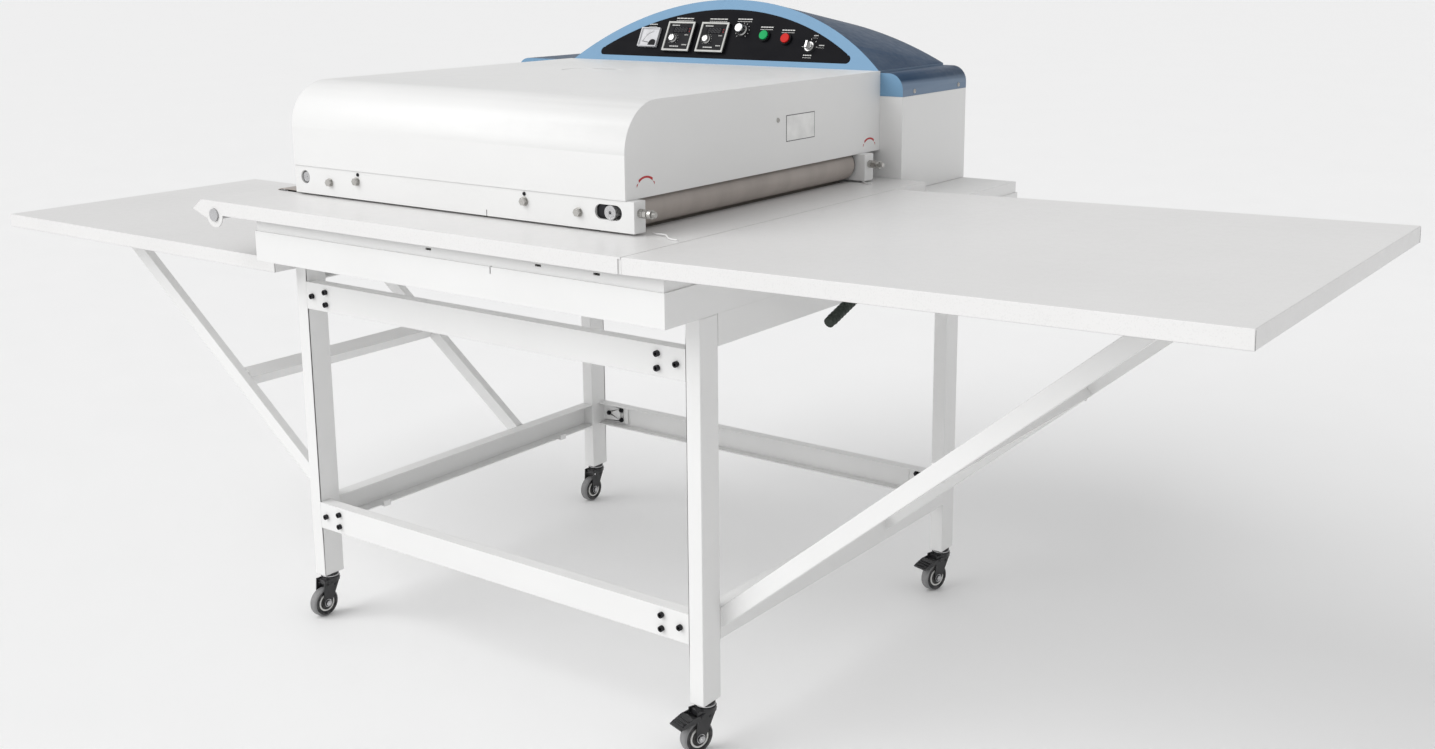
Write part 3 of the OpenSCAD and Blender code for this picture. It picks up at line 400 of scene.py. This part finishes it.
PAINT = {
    "powder_white": powder_coat("powder_white", WHITE_PAINT),
    "table_white": powder_coat("table_white", TABLE_PAINT, 0.34, 0.16),
    "bolt_black": metal("bolt_black", (0.035, 0.035, 0.038), 0.42),
    "caster_black": plastic("caster_black", (0.016, 0.016, 0.018), 0.36, 0.2),
    "lever_black": plastic("lever_black", (0.012, 0.022, 0.015), 0.5, 0.0, 0.3),
    "belt": belt_cloth("belt", (0.42, 0.375, 0.345)),
    "roller_steel": metal("roller_steel", STEEL, 0.28, (1, 0.05, 1)),
    "heater_aluminium": metal("heater_aluminium", (0.62, 0.61, 0.60), 0.36, (0.1, 1, 1), 0.5),
    "bolt_zinc": metal("bolt_zinc", ZINC, 0.30),
    "cover_blue": cover_paint("cover_blue"),
    "panel_black": panel_overlay("panel_black"),
    "meter_white": plastic("meter_white", (0.68, 0.68, 0.70), 0.34, specular=0.15),
    "needle_black": plastic("needle_black", BLACK, 0.45),
    "controller_black": controller_plastic("controller_black", 0.0024),
    "knob_silver": metal("knob_silver", SILVER, 0.26, (1, 0.2, 1), 0.12),
    "button_green": plastic("button_green", (0.01, 0.40, 0.12), 0.30, specular=0.08),
    "button_red": plastic("button_red", (0.62, 0.022, 0.018), 0.30, specular=0.08),
    "gland_black": plastic("gland_black", (0.02, 0.02, 0.022), 0.45),
    "motor_grey": powder_coat("motor_grey", (0.10, 0.115, 0.13), 0.45),
}
PRINT = {
    "white": plastic("print_white", PRINT_WHITE, 0.4, specular=0.05),
    "blank": plastic("print_blank", (0.90, 0.90, 0.89), 0.35),
    "grey": plastic("print_grey", (0.16, 0.16, 0.165), 0.35, specular=0.1),
    "dark": plastic("print_dark", BLACK, 0.4, specular=0.08),
    "red": plastic("print_red", (0.55, 0.02, 0.025), 0.4),
    # Near-black seam lines: painted shade for the tables' folded corner seams.
    "gap": plastic("seam_shadow", (0.05, 0.05, 0.05), 0.8),
}


def dress_cad_nodes():
    """Gives every CAD node its slot's material; each wheel has one centred on its own axle."""
    for subpart in frame["record"]["subparts"]:
        node = nodes[subpart["node"]]
        slot = subpart["material_slot"]
        if slot == "caster_wheel":
            corner = subpart["node"].replace("caster_wheel_", "")
            material = wheel_rubber("wheel_" + corner, joints["roll_" + corner])
        else:
            material = PAINT[slot]
        for material_slot in node.material_slots:
            material_slot.material = material


# Width in metres of the rounding along sharp edges, by the first part of a node's name.
EDGE_ROUNDING = {
    "hood": 0.0011, "right_table": 0.0011, "left_table": 0.0011, "deck": 0.0009,
    "base_box": 0.0009, "rear_cabinet": 0.0010, "control_cover": 0.0012,
    "leg": 0.0022, "left_brace": 0.0018, "right_brace": 0.0018, "start_button": 0.0014,
    "stop_button": 0.0014, "ammeter": 0.0008, "brake": 0.0006, "pressure_lever": 0.0012,
}


def soften_edges():
    """A small bevel on sheet metal, tubes and controls; the CAD meshes under it stay as they are."""
    for name, node in nodes.items():
        widths = [width for start, width in EDGE_ROUNDING.items() if name.startswith(start)]
        if not widths or name == "ammeter_needle":
            continue
        weld = node.modifiers.new("join_faces", "WELD")
        weld.merge_threshold = 0.000002
        bevel = node.modifiers.new("round_edges", "BEVEL")
        bevel.width = widths[0]
        bevel.segments = 2
        bevel.limit_method = "ANGLE"
        bevel.angle_limit = math.radians(40)
        bevel.harden_normals = True


# ------------------------------------------------------------------ mesh tools

def piece(name, mesh, material, body=MACHINE, smooth=True):
    """Turns a bmesh into a shown piece that rides on a body."""
    data = bpy.data.meshes.new(name)
    bmesh.ops.recalc_face_normals(mesh, faces=mesh.faces)
    mesh.to_mesh(data)
    mesh.free()
    data.materials.append(material)
    made = bpy.data.objects.new(name, data)
    bpy.context.scene.collection.objects.link(made)
    if smooth:
        data.shade_smooth()
        data.set_sharp_from_angle(angle=math.radians(38))
    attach(made, body)
    return made


def joined(meshes):
    """One bmesh holding all the given ones."""
    whole = bmesh.new()
    for part in meshes:
        data = bpy.data.meshes.new("part")
        part.to_mesh(data)
        part.free()
        whole.from_mesh(data)
        bpy.data.meshes.remove(data)
    return whole


def spun(profile, sides=40):
    """A closed solid of revolution about Z from (radius, height) points; ends on the axis are welded."""
    mesh = bmesh.new()
    rings = []
    for radius, height in profile:
        if radius < 1e-6:
            rings.append([mesh.verts.new((0, 0, height))])
            continue
        turns = [2 * math.pi * i / sides for i in range(sides)]
        rings.append([mesh.verts.new((radius * math.cos(a), radius * math.sin(a), height)) for a in turns])
    for lower, upper in zip(rings, rings[1:]):
        for i in range(sides):
            j = (i + 1) % sides
            corners = [lower[i % len(lower)], lower[j % len(lower)],
                       upper[j % len(upper)], upper[i % len(upper)]]
            unique = list(dict.fromkeys(corners))
            if len(unique) > 2:
                mesh.faces.new(unique)
    return mesh


def slab(low, high, rounding=0.0, segments=2):
    """A box between two corners with rounded edges."""
    mesh = bmesh.new()
    bmesh.ops.create_cube(mesh, size=1.0)
    low = Vector(low)
    high = Vector(high)
    for vert in mesh.verts:
        vert.co = low + Vector([(c + 0.5) * (h - l) for c, l, h in zip(vert.co, low, high)])
    if rounding:
        bmesh.ops.bevel(mesh, geom=list(mesh.edges), offset=rounding, segments=segments,
                        affect="EDGES", profile=0.5)
    return mesh


def ribbon(outline, y0, y1):
    """A flat solid from an X-Z outline, between two depths."""
    mesh = bmesh.new()
    front = [mesh.verts.new((x, y0, z)) for x, z in outline]
    back = [mesh.verts.new((x, y1, z)) for x, z in outline]
    mesh.faces.new(front)
    mesh.faces.new(list(reversed(back)))
    for i in range(len(outline)):
        j = (i + 1) % len(outline)
        mesh.faces.new((front[i], front[j], back[j], back[i]))
    return mesh


def arc_points(cx, cz, radius, start, end, count):
    """Points on an X-Z circle, angles in degrees anticlockwise from +X."""
    steps = [math.radians(start + (end - start) * i / count) for i in range(count + 1)]
    return [(cx + radius * math.cos(a), cz + radius * math.sin(a)) for a in steps]


def arc_band(cx, cz, inner, outer, start, end, y0, y1):
    """A flat band between two radii and two angles."""
    outline = arc_points(cx, cz, outer, start, end, 24)
    outline += list(reversed(arc_points(cx, cz, inner, start, end, 24)))
    return ribbon(outline, y0, y1)


def tube(points, radius, sides):
    """A round bar through points; radius is a number or a function of the share along the path."""
    path = [Vector(p) for p in points]
    mesh = bmesh.new()
    rings = []
    up = Vector((0.0, 0.0, 1.0))
    for i, place in enumerate(path):
        ahead = path[min(i + 1, len(path) - 1)] - path[max(i - 1, 0)]
        ahead.normalize()
        if abs(ahead.dot(up)) > 0.98:
            up = Vector((1.0, 0.0, 0.0))
        side = ahead.cross(up).normalized()
        up = side.cross(ahead).normalized()
        reach = radius(i / (len(path) - 1)) if callable(radius) else radius
        turns = [2 * math.pi * k / sides for k in range(sides)]
        loop = [place + reach * (math.cos(a) * side + math.sin(a) * up) for a in turns]
        rings.append([mesh.verts.new(spot) for spot in loop])
    for first, second in zip(rings, rings[1:]):
        for k in range(sides):
            j = (k + 1) % sides
            mesh.faces.new((first[k], first[j], second[j], second[k]))
    mesh.faces.new(rings[0])
    mesh.faces.new(list(reversed(rings[-1])))
    return mesh


def moved(mesh, place, facing=(0, 0, 1)):
    """Turns a mesh drawn along +Z to face a direction and puts it in its place."""
    turn = Vector(facing).to_track_quat("Z", "Y").to_matrix().to_4x4()
    mesh.transform(Matrix.Translation(Vector(place)) @ turn)
    return mesh


def face_piece(name, mesh, material, body=MACHINE, smooth=True):
    """A piece drawn on an upright control face, leaned back with it."""
    mesh.transform(LEAN)
    return piece(name, mesh, material, body, smooth)


# ------------------------------------------------------------------ fasteners and seams

def pan_screw(radius, height):
    """A screw's pan head, dished at its centre."""
    profile = [(0, -0.0005), (radius, -0.0005), (radius, height * 0.35), (radius * 0.86, height * 0.78),
               (radius * 0.55, height), (radius * 0.34, height), (radius * 0.26, height * 0.45),
               (0, height * 0.35)]
    return spun(profile, 28)


def ring(inner, outer, low, high):
    """A ring about Z with softened edges."""
    edge = min(outer - inner, high - low) * 0.2
    profile = [(inner, low), (outer - edge, low), (outer, low + edge), (outer, high - edge),
               (outer - edge, high), (inner + edge, high), (inner, high - edge), (inner, low)]
    return spun(profile)


def weld_bead(start, end, radius=0.0022, pitch=0.0034):
    """A fillet weld's rippled bead between two points."""
    start = Vector(start)
    end = Vector(end)
    ripples = max(2, int((end - start).length / pitch))
    steps = ripples * 4
    points = [start.lerp(end, i / steps) for i in range(steps + 1)]

    def swell(share):
        wave = abs(math.sin(math.pi * share * ripples))
        taper = min(1.0, 8 * share + 0.35, 8 * (1 - share) + 0.35)
        return radius * taper * (0.78 + 0.22 * wave)

    return tube(points, swell, 8)


def head_details():
    """Rail screws, drive bearing, tension block, the belt's end cap and the draw screws' threads."""
    rail_low, rail_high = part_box("head_front_rail")
    face = rail_low.y
    screws = []
    for x, z in RAIL_SCREWS:
        screws.append(moved(pan_screw(0.0036, 0.0022), (STAND.x + x, face, z), (0, -1, 0)))
    piece("head_rail_screws", joined(screws), PAINT["bolt_black"])
    drive = middle("upper_drive_roller")
    drive_hole = (drive.x, face + 0.0085, drive.z)
    piece("drive_bearing", moved(ring(0.0102, 0.0129, 0, 0.0035), drive_hole, (0, -1, 0)),
          PAINT["bolt_black"])
    tension = middle("upper_tension_roller")
    block = slab((tension.x - 0.0340, face + 0.004, tension.z - 0.0118),
                 (tension.x - 0.0132, face + 0.026, tension.z + 0.0118), 0.001)
    piece("tension_block", block, PAINT["bolt_black"])
    belt_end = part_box("upper_belt")[1].y
    cap = ring(0.0104, 0.0298, 0, 0.0065)
    piece("belt_end_cap", moved(cap, (tension.x, belt_end + 0.0005, tension.z), (0, 1, 0)),
          PAINT["caster_black"], "tension")
    thread = []
    for y in (face + 0.015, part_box("head_rear_rail")[0].y + 0.017):
        for near, far in DRAW_SCREW_STRETCHES:
            x0 = rail_high.x + near
            x1 = rail_high.x + far
            steps = THREAD_TURNS * 16
            coil = []
            for i in range(steps + 1):
                angle = 2 * math.pi * THREAD_TURNS * i / steps
                coil.append((x0 + (x1 - x0) * i / steps, y + THREAD_RADIUS * math.cos(angle),
                             DRAW_SCREW_Z + THREAD_RADIUS * math.sin(angle)))
            thread.append(tube(coil, THREAD_WIRE, 6))
    piece("draw_screw_threads", joined(thread), PAINT["bolt_zinc"])


def hood_details():
    """Side screw, a plain blank plate and the two curved red turning marks."""
    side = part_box("hood")[1].x
    screw_y, screw_z = HOOD_SCREW
    screw_place = (side, STAND.y + screw_y, screw_z)
    piece("hood_side_screw", moved(pan_screw(0.0046, 0.0024), screw_place, (1, 0, 0)),
          PAINT["bolt_zinc"])
    y0, y1 = (STAND.y + y for y in PLATE_Y)
    z0, z1 = PLATE_Z
    rim = slab((side - 0.0002, y0, z0), (side + 0.0003, y1, z1), 0.0001, 1)
    piece("blank_plate_rim", rim, PRINT["grey"])
    plate = slab((side - 0.0002, y0 + PLATE_RIM, z0 + PLATE_RIM),
                 (side + 0.0005, y1 - PLATE_RIM, z1 - PLATE_RIM), 0.0002, 1)
    piece("blank_plate", plate, PRINT["blank"])
    marks = []
    for y, z in TURNING_MARKS:
        y += STAND.y
        inner = arc_points(0, -0.0130, 0.0285, 50, 130, 20)
        outer = arc_points(0, -0.0195, 0.0385, 60, 120, 20)
        tips = [(0.0200, 0.0085), (0.0245, 0.0060), (0.0240, 0.0015)]
        band = ribbon(outer + list(reversed(inner)), -DECAL_HALF, DECAL_HALF)
        marks.append(side_decal(band, side, y, z))
        for flip in (1, -1):
            outline = [(flip * x, h) for x, h in tips]
            marks.append(side_decal(ribbon(outline, -DECAL_HALF, DECAL_HALF), side, y, z))
    piece("turning_marks", joined(marks), PRINT["red"], smooth=False)


def side_decal(mesh, side, y, z):
    """Puts a decal drawn in X-Z flat on the machine's right side."""
    mesh.transform(Matrix.Translation((side, y, z)) @ Matrix.Rotation(math.radians(90), 4, "Z"))
    return mesh


def cover_details():
    """Screws that hold the cover's sides and the cabinet's back."""
    low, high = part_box("rear_cabinet")
    screws = []
    for side, facing in ((high.x, 1), (low.x, -1)):
        for y in (low.y + 0.049, high.y - 0.037):
            screws.append(moved(pan_screw(0.0048, 0.0024), (side, y, high.z + 0.009), (facing, 0, 0)))
    for i in range(5):
        x = low.x + 0.05 + i * (high.x - low.x - 0.1) / 4
        for z in (low.z + 0.018, high.z - 0.018):
            screws.append(moved(pan_screw(0.0048, 0.0024), (x, high.y - 0.0001, z), (0, 1, 0)))
    piece("cabinet_screws", joined(screws), PAINT["bolt_zinc"])


def deck_wires():
    """The two springy white wire fingers on the deck beside the nip."""
    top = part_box("deck")[1].z
    for name, start, end in DECK_WIRES:
        start = STAND + Vector((*start, top + 0.0016))
        end = STAND + Vector((*end, top + 0.0016))
        across = (end - start).cross(Vector((0, 0, 1))).normalized()
        points = []
        for i in range(25):
            share = i / 24
            wobble = 0.0032 * math.sin(3.2 * math.pi * share) * (0.4 + share)
            lift = 0.0022 * math.sin(math.pi * share) ** 2
            points.append(start.lerp(end, share) + across * wobble + Vector((0, 0, lift)))
        piece(name, tube(points, WIRE_RADIUS, 8), PAINT["powder_white"])


def stand_welds():
    """Weld beads at the feet, heads and crossbars of the table braces."""
    beads = []
    for side in ("left", "right"):
        sign = -1 if side == "left" else 1
        for end in ("front", "rear"):
            low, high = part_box(f"{side}_brace_{end}_arm")
            foot_x = low.x if sign > 0 else high.x
            arm = high - low
            slope = arm.z / arm.x
            thick = BRACE_WIDTH / math.cos(math.atan(slope))
            for y in (low.y, high.y):
                beads.append(weld_bead((foot_x, y, low.z), (foot_x, y, low.z + thick)))
            head_x = high.x if sign > 0 else low.x
            run = BRACE_WIDTH / math.sin(math.atan(slope))
            under = high.z - 0.0006
            for y in (low.y, high.y):
                beads.append(weld_bead((head_x - sign * run, y, under - 0.0008), (head_x, y, under)))
        bar = [v.co for v in nodes["brace_crossbars"].data.vertices if sign * (v.co.x - STAND.x) > 0]
        bar_low, bar_high = box_of(bar)
        centre = (bar_low + bar_high) / 2
        for y in (bar_low.y, bar_high.y):
            for lift in (-0.013, 0.013):
                z = centre.z + lift
                beads.append(weld_bead((centre.x - 0.012, y, z), (centre.x + 0.012, y, z)))
    piece("brace_welds", joined(beads), PAINT["powder_white"])


def table_seams():
    """Thin near-black lines at the closed corner seams where the table lips are folded together: painted shade in
    the seams.
    """
    seams = []
    for name in ("left_table", "right_table"):
        corners = [v.co for v in nodes[name].data.vertices]
        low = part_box(name)[0]
        for pick_x in (min, max):
            for pick_y in (min, max):
                x = pick_x(v.x for v in corners)
                y = pick_y(v.y for v in corners)
                column = [v for v in corners if abs(v.x - x) < 0.003 and abs(v.y - y) < 0.0005]
                if len(column) < 2:
                    continue
                top = max(column, key=lambda v: v.z)
                bottom = min(column, key=lambda v: v.z)
                inset = 0.0016 if y == low.y else -0.0016
                start = top + Vector((0, inset, -0.0022))
                end = bottom + Vector((0, inset, 0.0004))
                seams.append(tube([start, start.lerp(end, 0.5), end], 0.00035, 6))
    # The seam lines are painted shade: they stay dark whatever the light.
    piece("table_corner_seams", joined(seams), PRINT["gap"])


# ------------------------------------------------------------------ casters and lever

def caster_details():
    """Axle nuts with washers, the ball race ring and two fork rivets on each caster."""
    for corner in CORNERS:
        roll = joints["roll_" + corner]
        swivel = joints["swivel_" + corner]
        body = "fork_" + corner
        axis = Vector(roll["axis"])
        centre = Vector(roll["pos_m"])
        nuts = []
        for sign in (-1, 1):
            hexagon = spun([(0, 0), (0.0062, 0), (0.0066, 0.0006), (0.0066, 0.0034), (0.0056, 0.0042),
                            (0.0034, 0.0042), (0.0030, 0.0052), (0, 0.0054)], 6)
            nuts.append(moved(hexagon, centre + sign * 0.0146 * axis, sign * axis))
            nuts.append(moved(ring(0.0032, 0.0085, 0, 0.0009), centre + sign * 0.0141 * axis, sign * axis))
        piece("axle_nuts_" + corner, joined(nuts), PAINT["roller_steel"], body)
        top = Vector(swivel["pos_m"])
        race = ring(0.0150, 0.0178, -0.0062, -0.0040)
        piece("race_ring_" + corner, moved(race, top), PAINT["roller_steel"], body)
        rivets = []
        for sign in (-1, 1):
            spot = top - Vector((0, 0, 0.024)) + sign * 0.0138 * axis
            rivets.append(moved(pan_screw(0.003, 0.0012), spot, sign * axis))
        piece("fork_rivets_" + corner, joined(rivets), PAINT["bolt_black"], body)


def lever_grip():
    """Raised rings along the rubber grip of the pressure lever."""
    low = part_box("pressure_lever")[0]
    joint = joints["pressure_lever_turn"]
    pivot = Vector((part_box("upper_front_beam")[1].x + 0.125, joint["pos_m"][1], joint["pos_m"][2]))
    tip = Vector((pivot.x, low.y + 0.004, low.z + 0.009))
    along = (tip - pivot).normalized()
    rings = []
    for i in range(9):
        spot = tip - along * (0.012 + 0.010 * i)
        rings.append(moved(ring(0.0090, 0.0103, -0.0016, 0.0016), spot, along))
    piece("grip_rings", joined(rings), PAINT["lever_black"], "lever")


# ------------------------------------------------------------------ control panel

def tick_ring(cx, cz, inner, outer, start, end, count, y0, y1, width=0.0007):
    """Short radial strokes around a control."""
    strokes = []
    for i in range(count):
        angle = math.radians(start + (end - start) * i / (count - 1))
        along = Vector((math.cos(angle), math.sin(angle)))
        across = Vector((-along.y, along.x)) * width / 2
        near = Vector((cx, cz)) + along * inner
        far = Vector((cx, cz)) + along * outer
        outline = [near - across, far - across, far + across, near + across]
        strokes.append(ribbon([(p.x, p.y) for p in outline], y0, y1))
    return strokes


def dashes(cx, z, width, rows, y0, y1):
    """Rows of short strokes standing in for the printed captions, with no lettering."""
    strokes = []
    for row in range(rows):
        height = 0.0024 if row == 0 else 0.0013
        gap = 0.0009
        count = 5 if row == 0 else 9
        pitch = width / count
        for i in range(count):
            x0 = cx - width / 2 + i * pitch
            low = z - row * 0.0052
            strokes.append(ribbon([(x0, low), (x0 + pitch - gap, low), (x0 + pitch - gap, low + height),
                                   (x0, low + height)], y0, y1))
    return strokes


def seven_segments(cx, cz, height, y0, y1):
    """The seven bars of one unlit display digit."""
    half = height * 0.26
    bar = height * 0.085
    lean = 0.12
    bars = []
    for level in (-1, 0, 1):
        z = cz + level * height / 2
        bars.append([(cx - half + bar, z - bar / 2), (cx + half - bar, z - bar / 2),
                     (cx + half - bar, z + bar / 2), (cx - half + bar, z + bar / 2)])
    for side in (-1, 1):
        for level in (-1, 1):
            x = cx + side * half
            low = cz + (level - 1) * height / 4 + bar * 0.7
            high = cz + (level + 1) * height / 4 - bar * 0.7
            bars.append([(x - bar / 2, low), (x + bar / 2, low), (x + bar / 2, high), (x - bar / 2, high)])
    leaning = [[(x + lean * (z - cz), z) for x, z in outline] for outline in bars]
    return [ribbon(outline, y0, y1) for outline in leaning]


def fluted_knob(node, body, radius, height, flutes, slot):
    """A fluted, domed knob with a pointer line, in the place of the plain one."""
    low, high = face_box(node)
    cx = (low.x + high.x) / 2
    cz = (low.z + high.z) / 2
    back = low.y + height
    sides = flutes * 6
    layers = ((1.0, 0.0, 0.0), (1.0, 0.14, 0.0), (0.93, 0.20, 0.6), (0.86, 0.34, 1.0), (0.84, 0.82, 1.0),
              (0.80, 0.92, 0.5), (0.70, 1.0, 0.0), (0.0, 1.0, 0.0))
    mesh = bmesh.new()
    rings = []
    for share, lift, depth in layers:
        if share == 0:
            rings.append([mesh.verts.new((0, 0, height * lift))])
            continue
        loop = []
        for i in range(sides):
            angle = 2 * math.pi * i / sides
            reach = radius * share * (1 - 0.045 * depth * (0.5 - 0.5 * math.cos(flutes * angle)))
            loop.append(mesh.verts.new((reach * math.cos(angle), reach * math.sin(angle), height * lift)))
        rings.append(loop)
    mesh.faces.new(list(reversed(rings[0])))
    for lower, upper in zip(rings, rings[1:]):
        for i in range(sides):
            j = (i + 1) % sides
            corners = [lower[i], lower[j], upper[j % len(upper)], upper[i % len(upper)]]
            mesh.faces.new(list(dict.fromkeys(corners)))
    moved(mesh, (cx, back, cz), (0, -1, 0))
    made = face_piece(node + "_fluted", mesh, PAINT[slot], body)
    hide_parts(node)
    line = slab((cx - 0.0006, low.y - 0.0002, cz + radius * 0.12),
                (cx + 0.0006, low.y + 0.0004, cz + radius * 0.66))
    face_piece(node + "_pointer", line, PRINT["dark"], body)


def meter_details():
    """Printed scale and the black corner that hides the movement."""
    low = face_box("ammeter")[0]
    needle = UPRIGHT @ Vector(joints["meter_needle_turn"]["pos_m"])
    paper = low.y + 0.0030
    px, pz = needle.x, needle.z
    y0 = paper - 0.0002
    y1 = paper + 0.0001
    marks = [arc_band(px, pz, 0.0285, SCALE_RADIUS, SCALE_START, SCALE_END, y0, y1)]
    marks += tick_ring(px, pz, SCALE_RADIUS, 0.0318, SCALE_START, SCALE_END, 11, y0, y1, 0.0004)
    marks += tick_ring(px, pz, SCALE_RADIUS, 0.0335, SCALE_START, SCALE_END, 3, y0, y1, 0.0007)
    face_piece("meter_scale", joined(marks), PRINT["dark"], smooth=False)
    corner = [(px + 0.0088, pz - 0.0045)]
    corner += arc_points(px, pz, 0.0095, 35, 175, 16)
    corner += [(px - 0.0120, pz - 0.0045)]
    hub = ribbon(corner, low.y + 0.0006, paper - 0.0016)
    face_piece("meter_hub_cover", hub, PRINT["dark"])


def controller_details():
    """Display window with unlit digits, dial strokes, lamps and print on both temperature controllers."""
    low, high = face_box("temperature_controllers")
    face = low.y + 0.0025
    cz = (low.z + high.z) / 2
    y0 = face - 0.0002
    y1 = face + 0.0001
    for name, cx in (("upper", low.x + CONTROLLER_HALF), ("lower", high.x - CONTROLLER_HALF)):
        window = slab((cx - 0.020, face - 0.0007, cz + 0.0085),
                      (cx + 0.022, face + 0.0002, cz + 0.0235), 0.0003, 1)
        face_piece("display_window_" + name, window, PAINT["panel_black"])
        digits = []
        for i in range(4):
            digits += seven_segments(cx - 0.0125 + 0.0092 * i, cz + 0.016, 0.0105,
                                     face - 0.0009, face - 0.0006)
        face_piece("display_digits_" + name, joined(digits), PRINT["grey"],
                   smooth=False)
        knob = face_middle("temperature_knob_" + name)
        print_marks = tick_ring(knob.x, knob.z, 0.0122, 0.0142, -45, 225, 11, y0, y1, 0.0006)
        for right, up, width in ((-0.016, 0.0262, 0.022), (-0.006, -0.0258, 0.026),
                                 (0.022, -0.0215, 0.014), (0.021, 0.0030, 0.010)):
            print_marks += dashes(cx + right, cz + up, width, 1, y0, y1)
        face_piece("controller_print_" + name, joined(print_marks), PRINT["white"],
                   smooth=False)
        lamps = []
        for k in range(2):
            spot = (cx + 0.0265, face, cz + 0.0190 - 0.006 * k)
            lamp = spun([(0, 0), (0.0013, 0), (0.0013, 0.0006), (0.0008, 0.0011), (0, 0.0012)], 16)
            lamps.append(moved(lamp, spot, (0, -1, 0)))
        face_piece("status_lamps_" + name, joined(lamps), PRINT["red"])


def panel_print(face):
    """White strokes printed on the overlay round each control; plain strokes, no lettering."""
    y0 = face - 0.00025
    y1 = face + 0.0001
    speed = face_middle("speed_knob")
    selector = face_middle("selector_knob")
    strokes = tick_ring(speed.x, speed.z, 0.0165, 0.0195, -50, 230, 11, y0, y1, 0.0009)
    strokes += tick_ring(selector.x, selector.z, 0.0165, 0.0200, 0, 180, 5, y0, y1, 0.0011)
    start = face_middle("start_button")
    stop = face_middle("stop_button")
    meter = face_middle("ammeter")
    low, high = face_box("temperature_controllers")
    captions = ((meter.x, face_box("ammeter")[1].z + 0.0095, 0.024, 2),
                (low.x + CONTROLLER_HALF, high.z + 0.0105, 0.050, 2),
                (high.x - CONTROLLER_HALF, high.z + 0.0105, 0.050, 2),
                (speed.x, speed.z + 0.0265, 0.040, 2),
                (start.x, start.z + 0.0205, 0.034, 2),
                (stop.x, stop.z + 0.0205, 0.034, 2),
                (selector.x + 0.030, selector.z + 0.003, 0.014, 2),
                (selector.x, selector.z - 0.021, 0.022, 2),
                (selector.x + 0.010, selector.z + 0.0255, 0.012, 2))
    for cx, z, width, rows in captions:
        strokes += dashes(cx, z, width, rows, y0, y1)
    face_piece("panel_print", joined(strokes), PRINT["white"], smooth=False)


def button_bezels(face):
    """Round bezels behind the start and stop buttons and under the two knobs."""
    for node, inner, outer in (("start_button", 0.0108, 0.0138), ("stop_button", 0.0108, 0.0138),
                               ("speed_knob", 0.0090, 0.0155), ("selector_knob", 0.0090, 0.0150)):
        spot = face_middle(node)
        height = 0.0052 if "button" in node else 0.0010
        bezel = moved(ring(inner, outer, -0.0002, height), (spot.x, face, spot.z), (0, -1, 0))
        face_piece(node + "_bezel", bezel, PRINT["dark"])


def control_panel_details():
    """Everything printed or fitted on the control panel; face is the depth of its upright front."""
    face = face_box("control_panel")[0].y
    meter_details()
    controller_details()
    panel_print(face)
    button_bezels(face)
    fluted_knob("temperature_knob_upper", "upper_temperature", 0.0098, 0.009, 16, "knob_silver")
    fluted_knob("temperature_knob_lower", "lower_temperature", 0.0098, 0.009, 16, "knob_silver")
    fluted_knob("speed_knob", "speed", 0.0128, 0.018, 18, "knob_silver")


# ------------------------------------------------------------------ stage

def add_sun(name, source, spread, strength):
    """A wide, soft light from the direction of its source."""
    data = bpy.data.lights.new(name, "SUN")
    data.angle = spread
    data.energy = strength
    light = bpy.data.objects.new(name, data)
    bpy.context.scene.collection.objects.link(light)
    light.rotation_euler = source.to_track_quat("Z", "Y").to_euler()


def add_stage():
    """A plain pale floor, a pale surround and one soft light."""
    mesh = bmesh.new()
    bmesh.ops.create_grid(mesh, x_segments=24, y_segments=24, size=FLOOR_REACH)
    data = bpy.data.meshes.new("floor")
    mesh.to_mesh(data)
    mesh.free()
    data.materials.append(floor_paint("floor_paint"))
    floor = bpy.data.objects.new("floor", data)
    bpy.context.scene.collection.objects.link(floor)
    world = bpy.data.worlds.new("surround")
    world.use_nodes = True
    background = world.node_tree.nodes["Background"]
    background.inputs["Color"].default_value = (1.0, 1.0, 1.0, 1.0)
    background.inputs["Strength"].default_value = SURROUND_STRENGTH
    bpy.context.scene.world = world
    add_sun("soft_key", Vector(SUN_SOURCE), SUN_WIDTH, SUN_STRENGTH)
    bpy.context.scene.view_settings.view_transform = "Standard"


def add_camera():
    """The photograph's camera: its azimuth, then its downward pitch, then its roll."""
    azimuth, pitch, roll = (math.radians(a) for a in (CAMERA_AZIMUTH, CAMERA_PITCH, CAMERA_ROLL))
    forward = Vector((math.sin(azimuth) * math.cos(pitch),
                      math.cos(azimuth) * math.cos(pitch), -math.sin(pitch)))
    level_right = forward.cross(Vector((0, 0, 1))).normalized()
    level_down = forward.cross(level_right)
    right = math.cos(roll) * level_right + math.sin(roll) * level_down
    down = math.cos(roll) * level_down - math.sin(roll) * level_right
    data = bpy.data.cameras.new("camera")
    data.sensor_width = 36.0
    data.lens = CAMERA_LENS
    data.shift_x, data.shift_y = CAMERA_SHIFT
    camera = bpy.data.objects.new("camera", data)
    turn = Matrix((right, -down, -forward)).transposed().to_4x4()
    camera.matrix_world = Matrix.Translation(STAND + Vector(CAMERA_PLACE)) @ turn
    bpy.context.scene.collection.objects.link(camera)
    bpy.context.scene.camera = camera


add_camera()
add_stage()
dress_cad_nodes()
soften_edges()
head_details()
hood_details()
cover_details()
deck_wires()
stand_welds()
table_seams()
caster_details()
lever_grip()
control_panel_details()
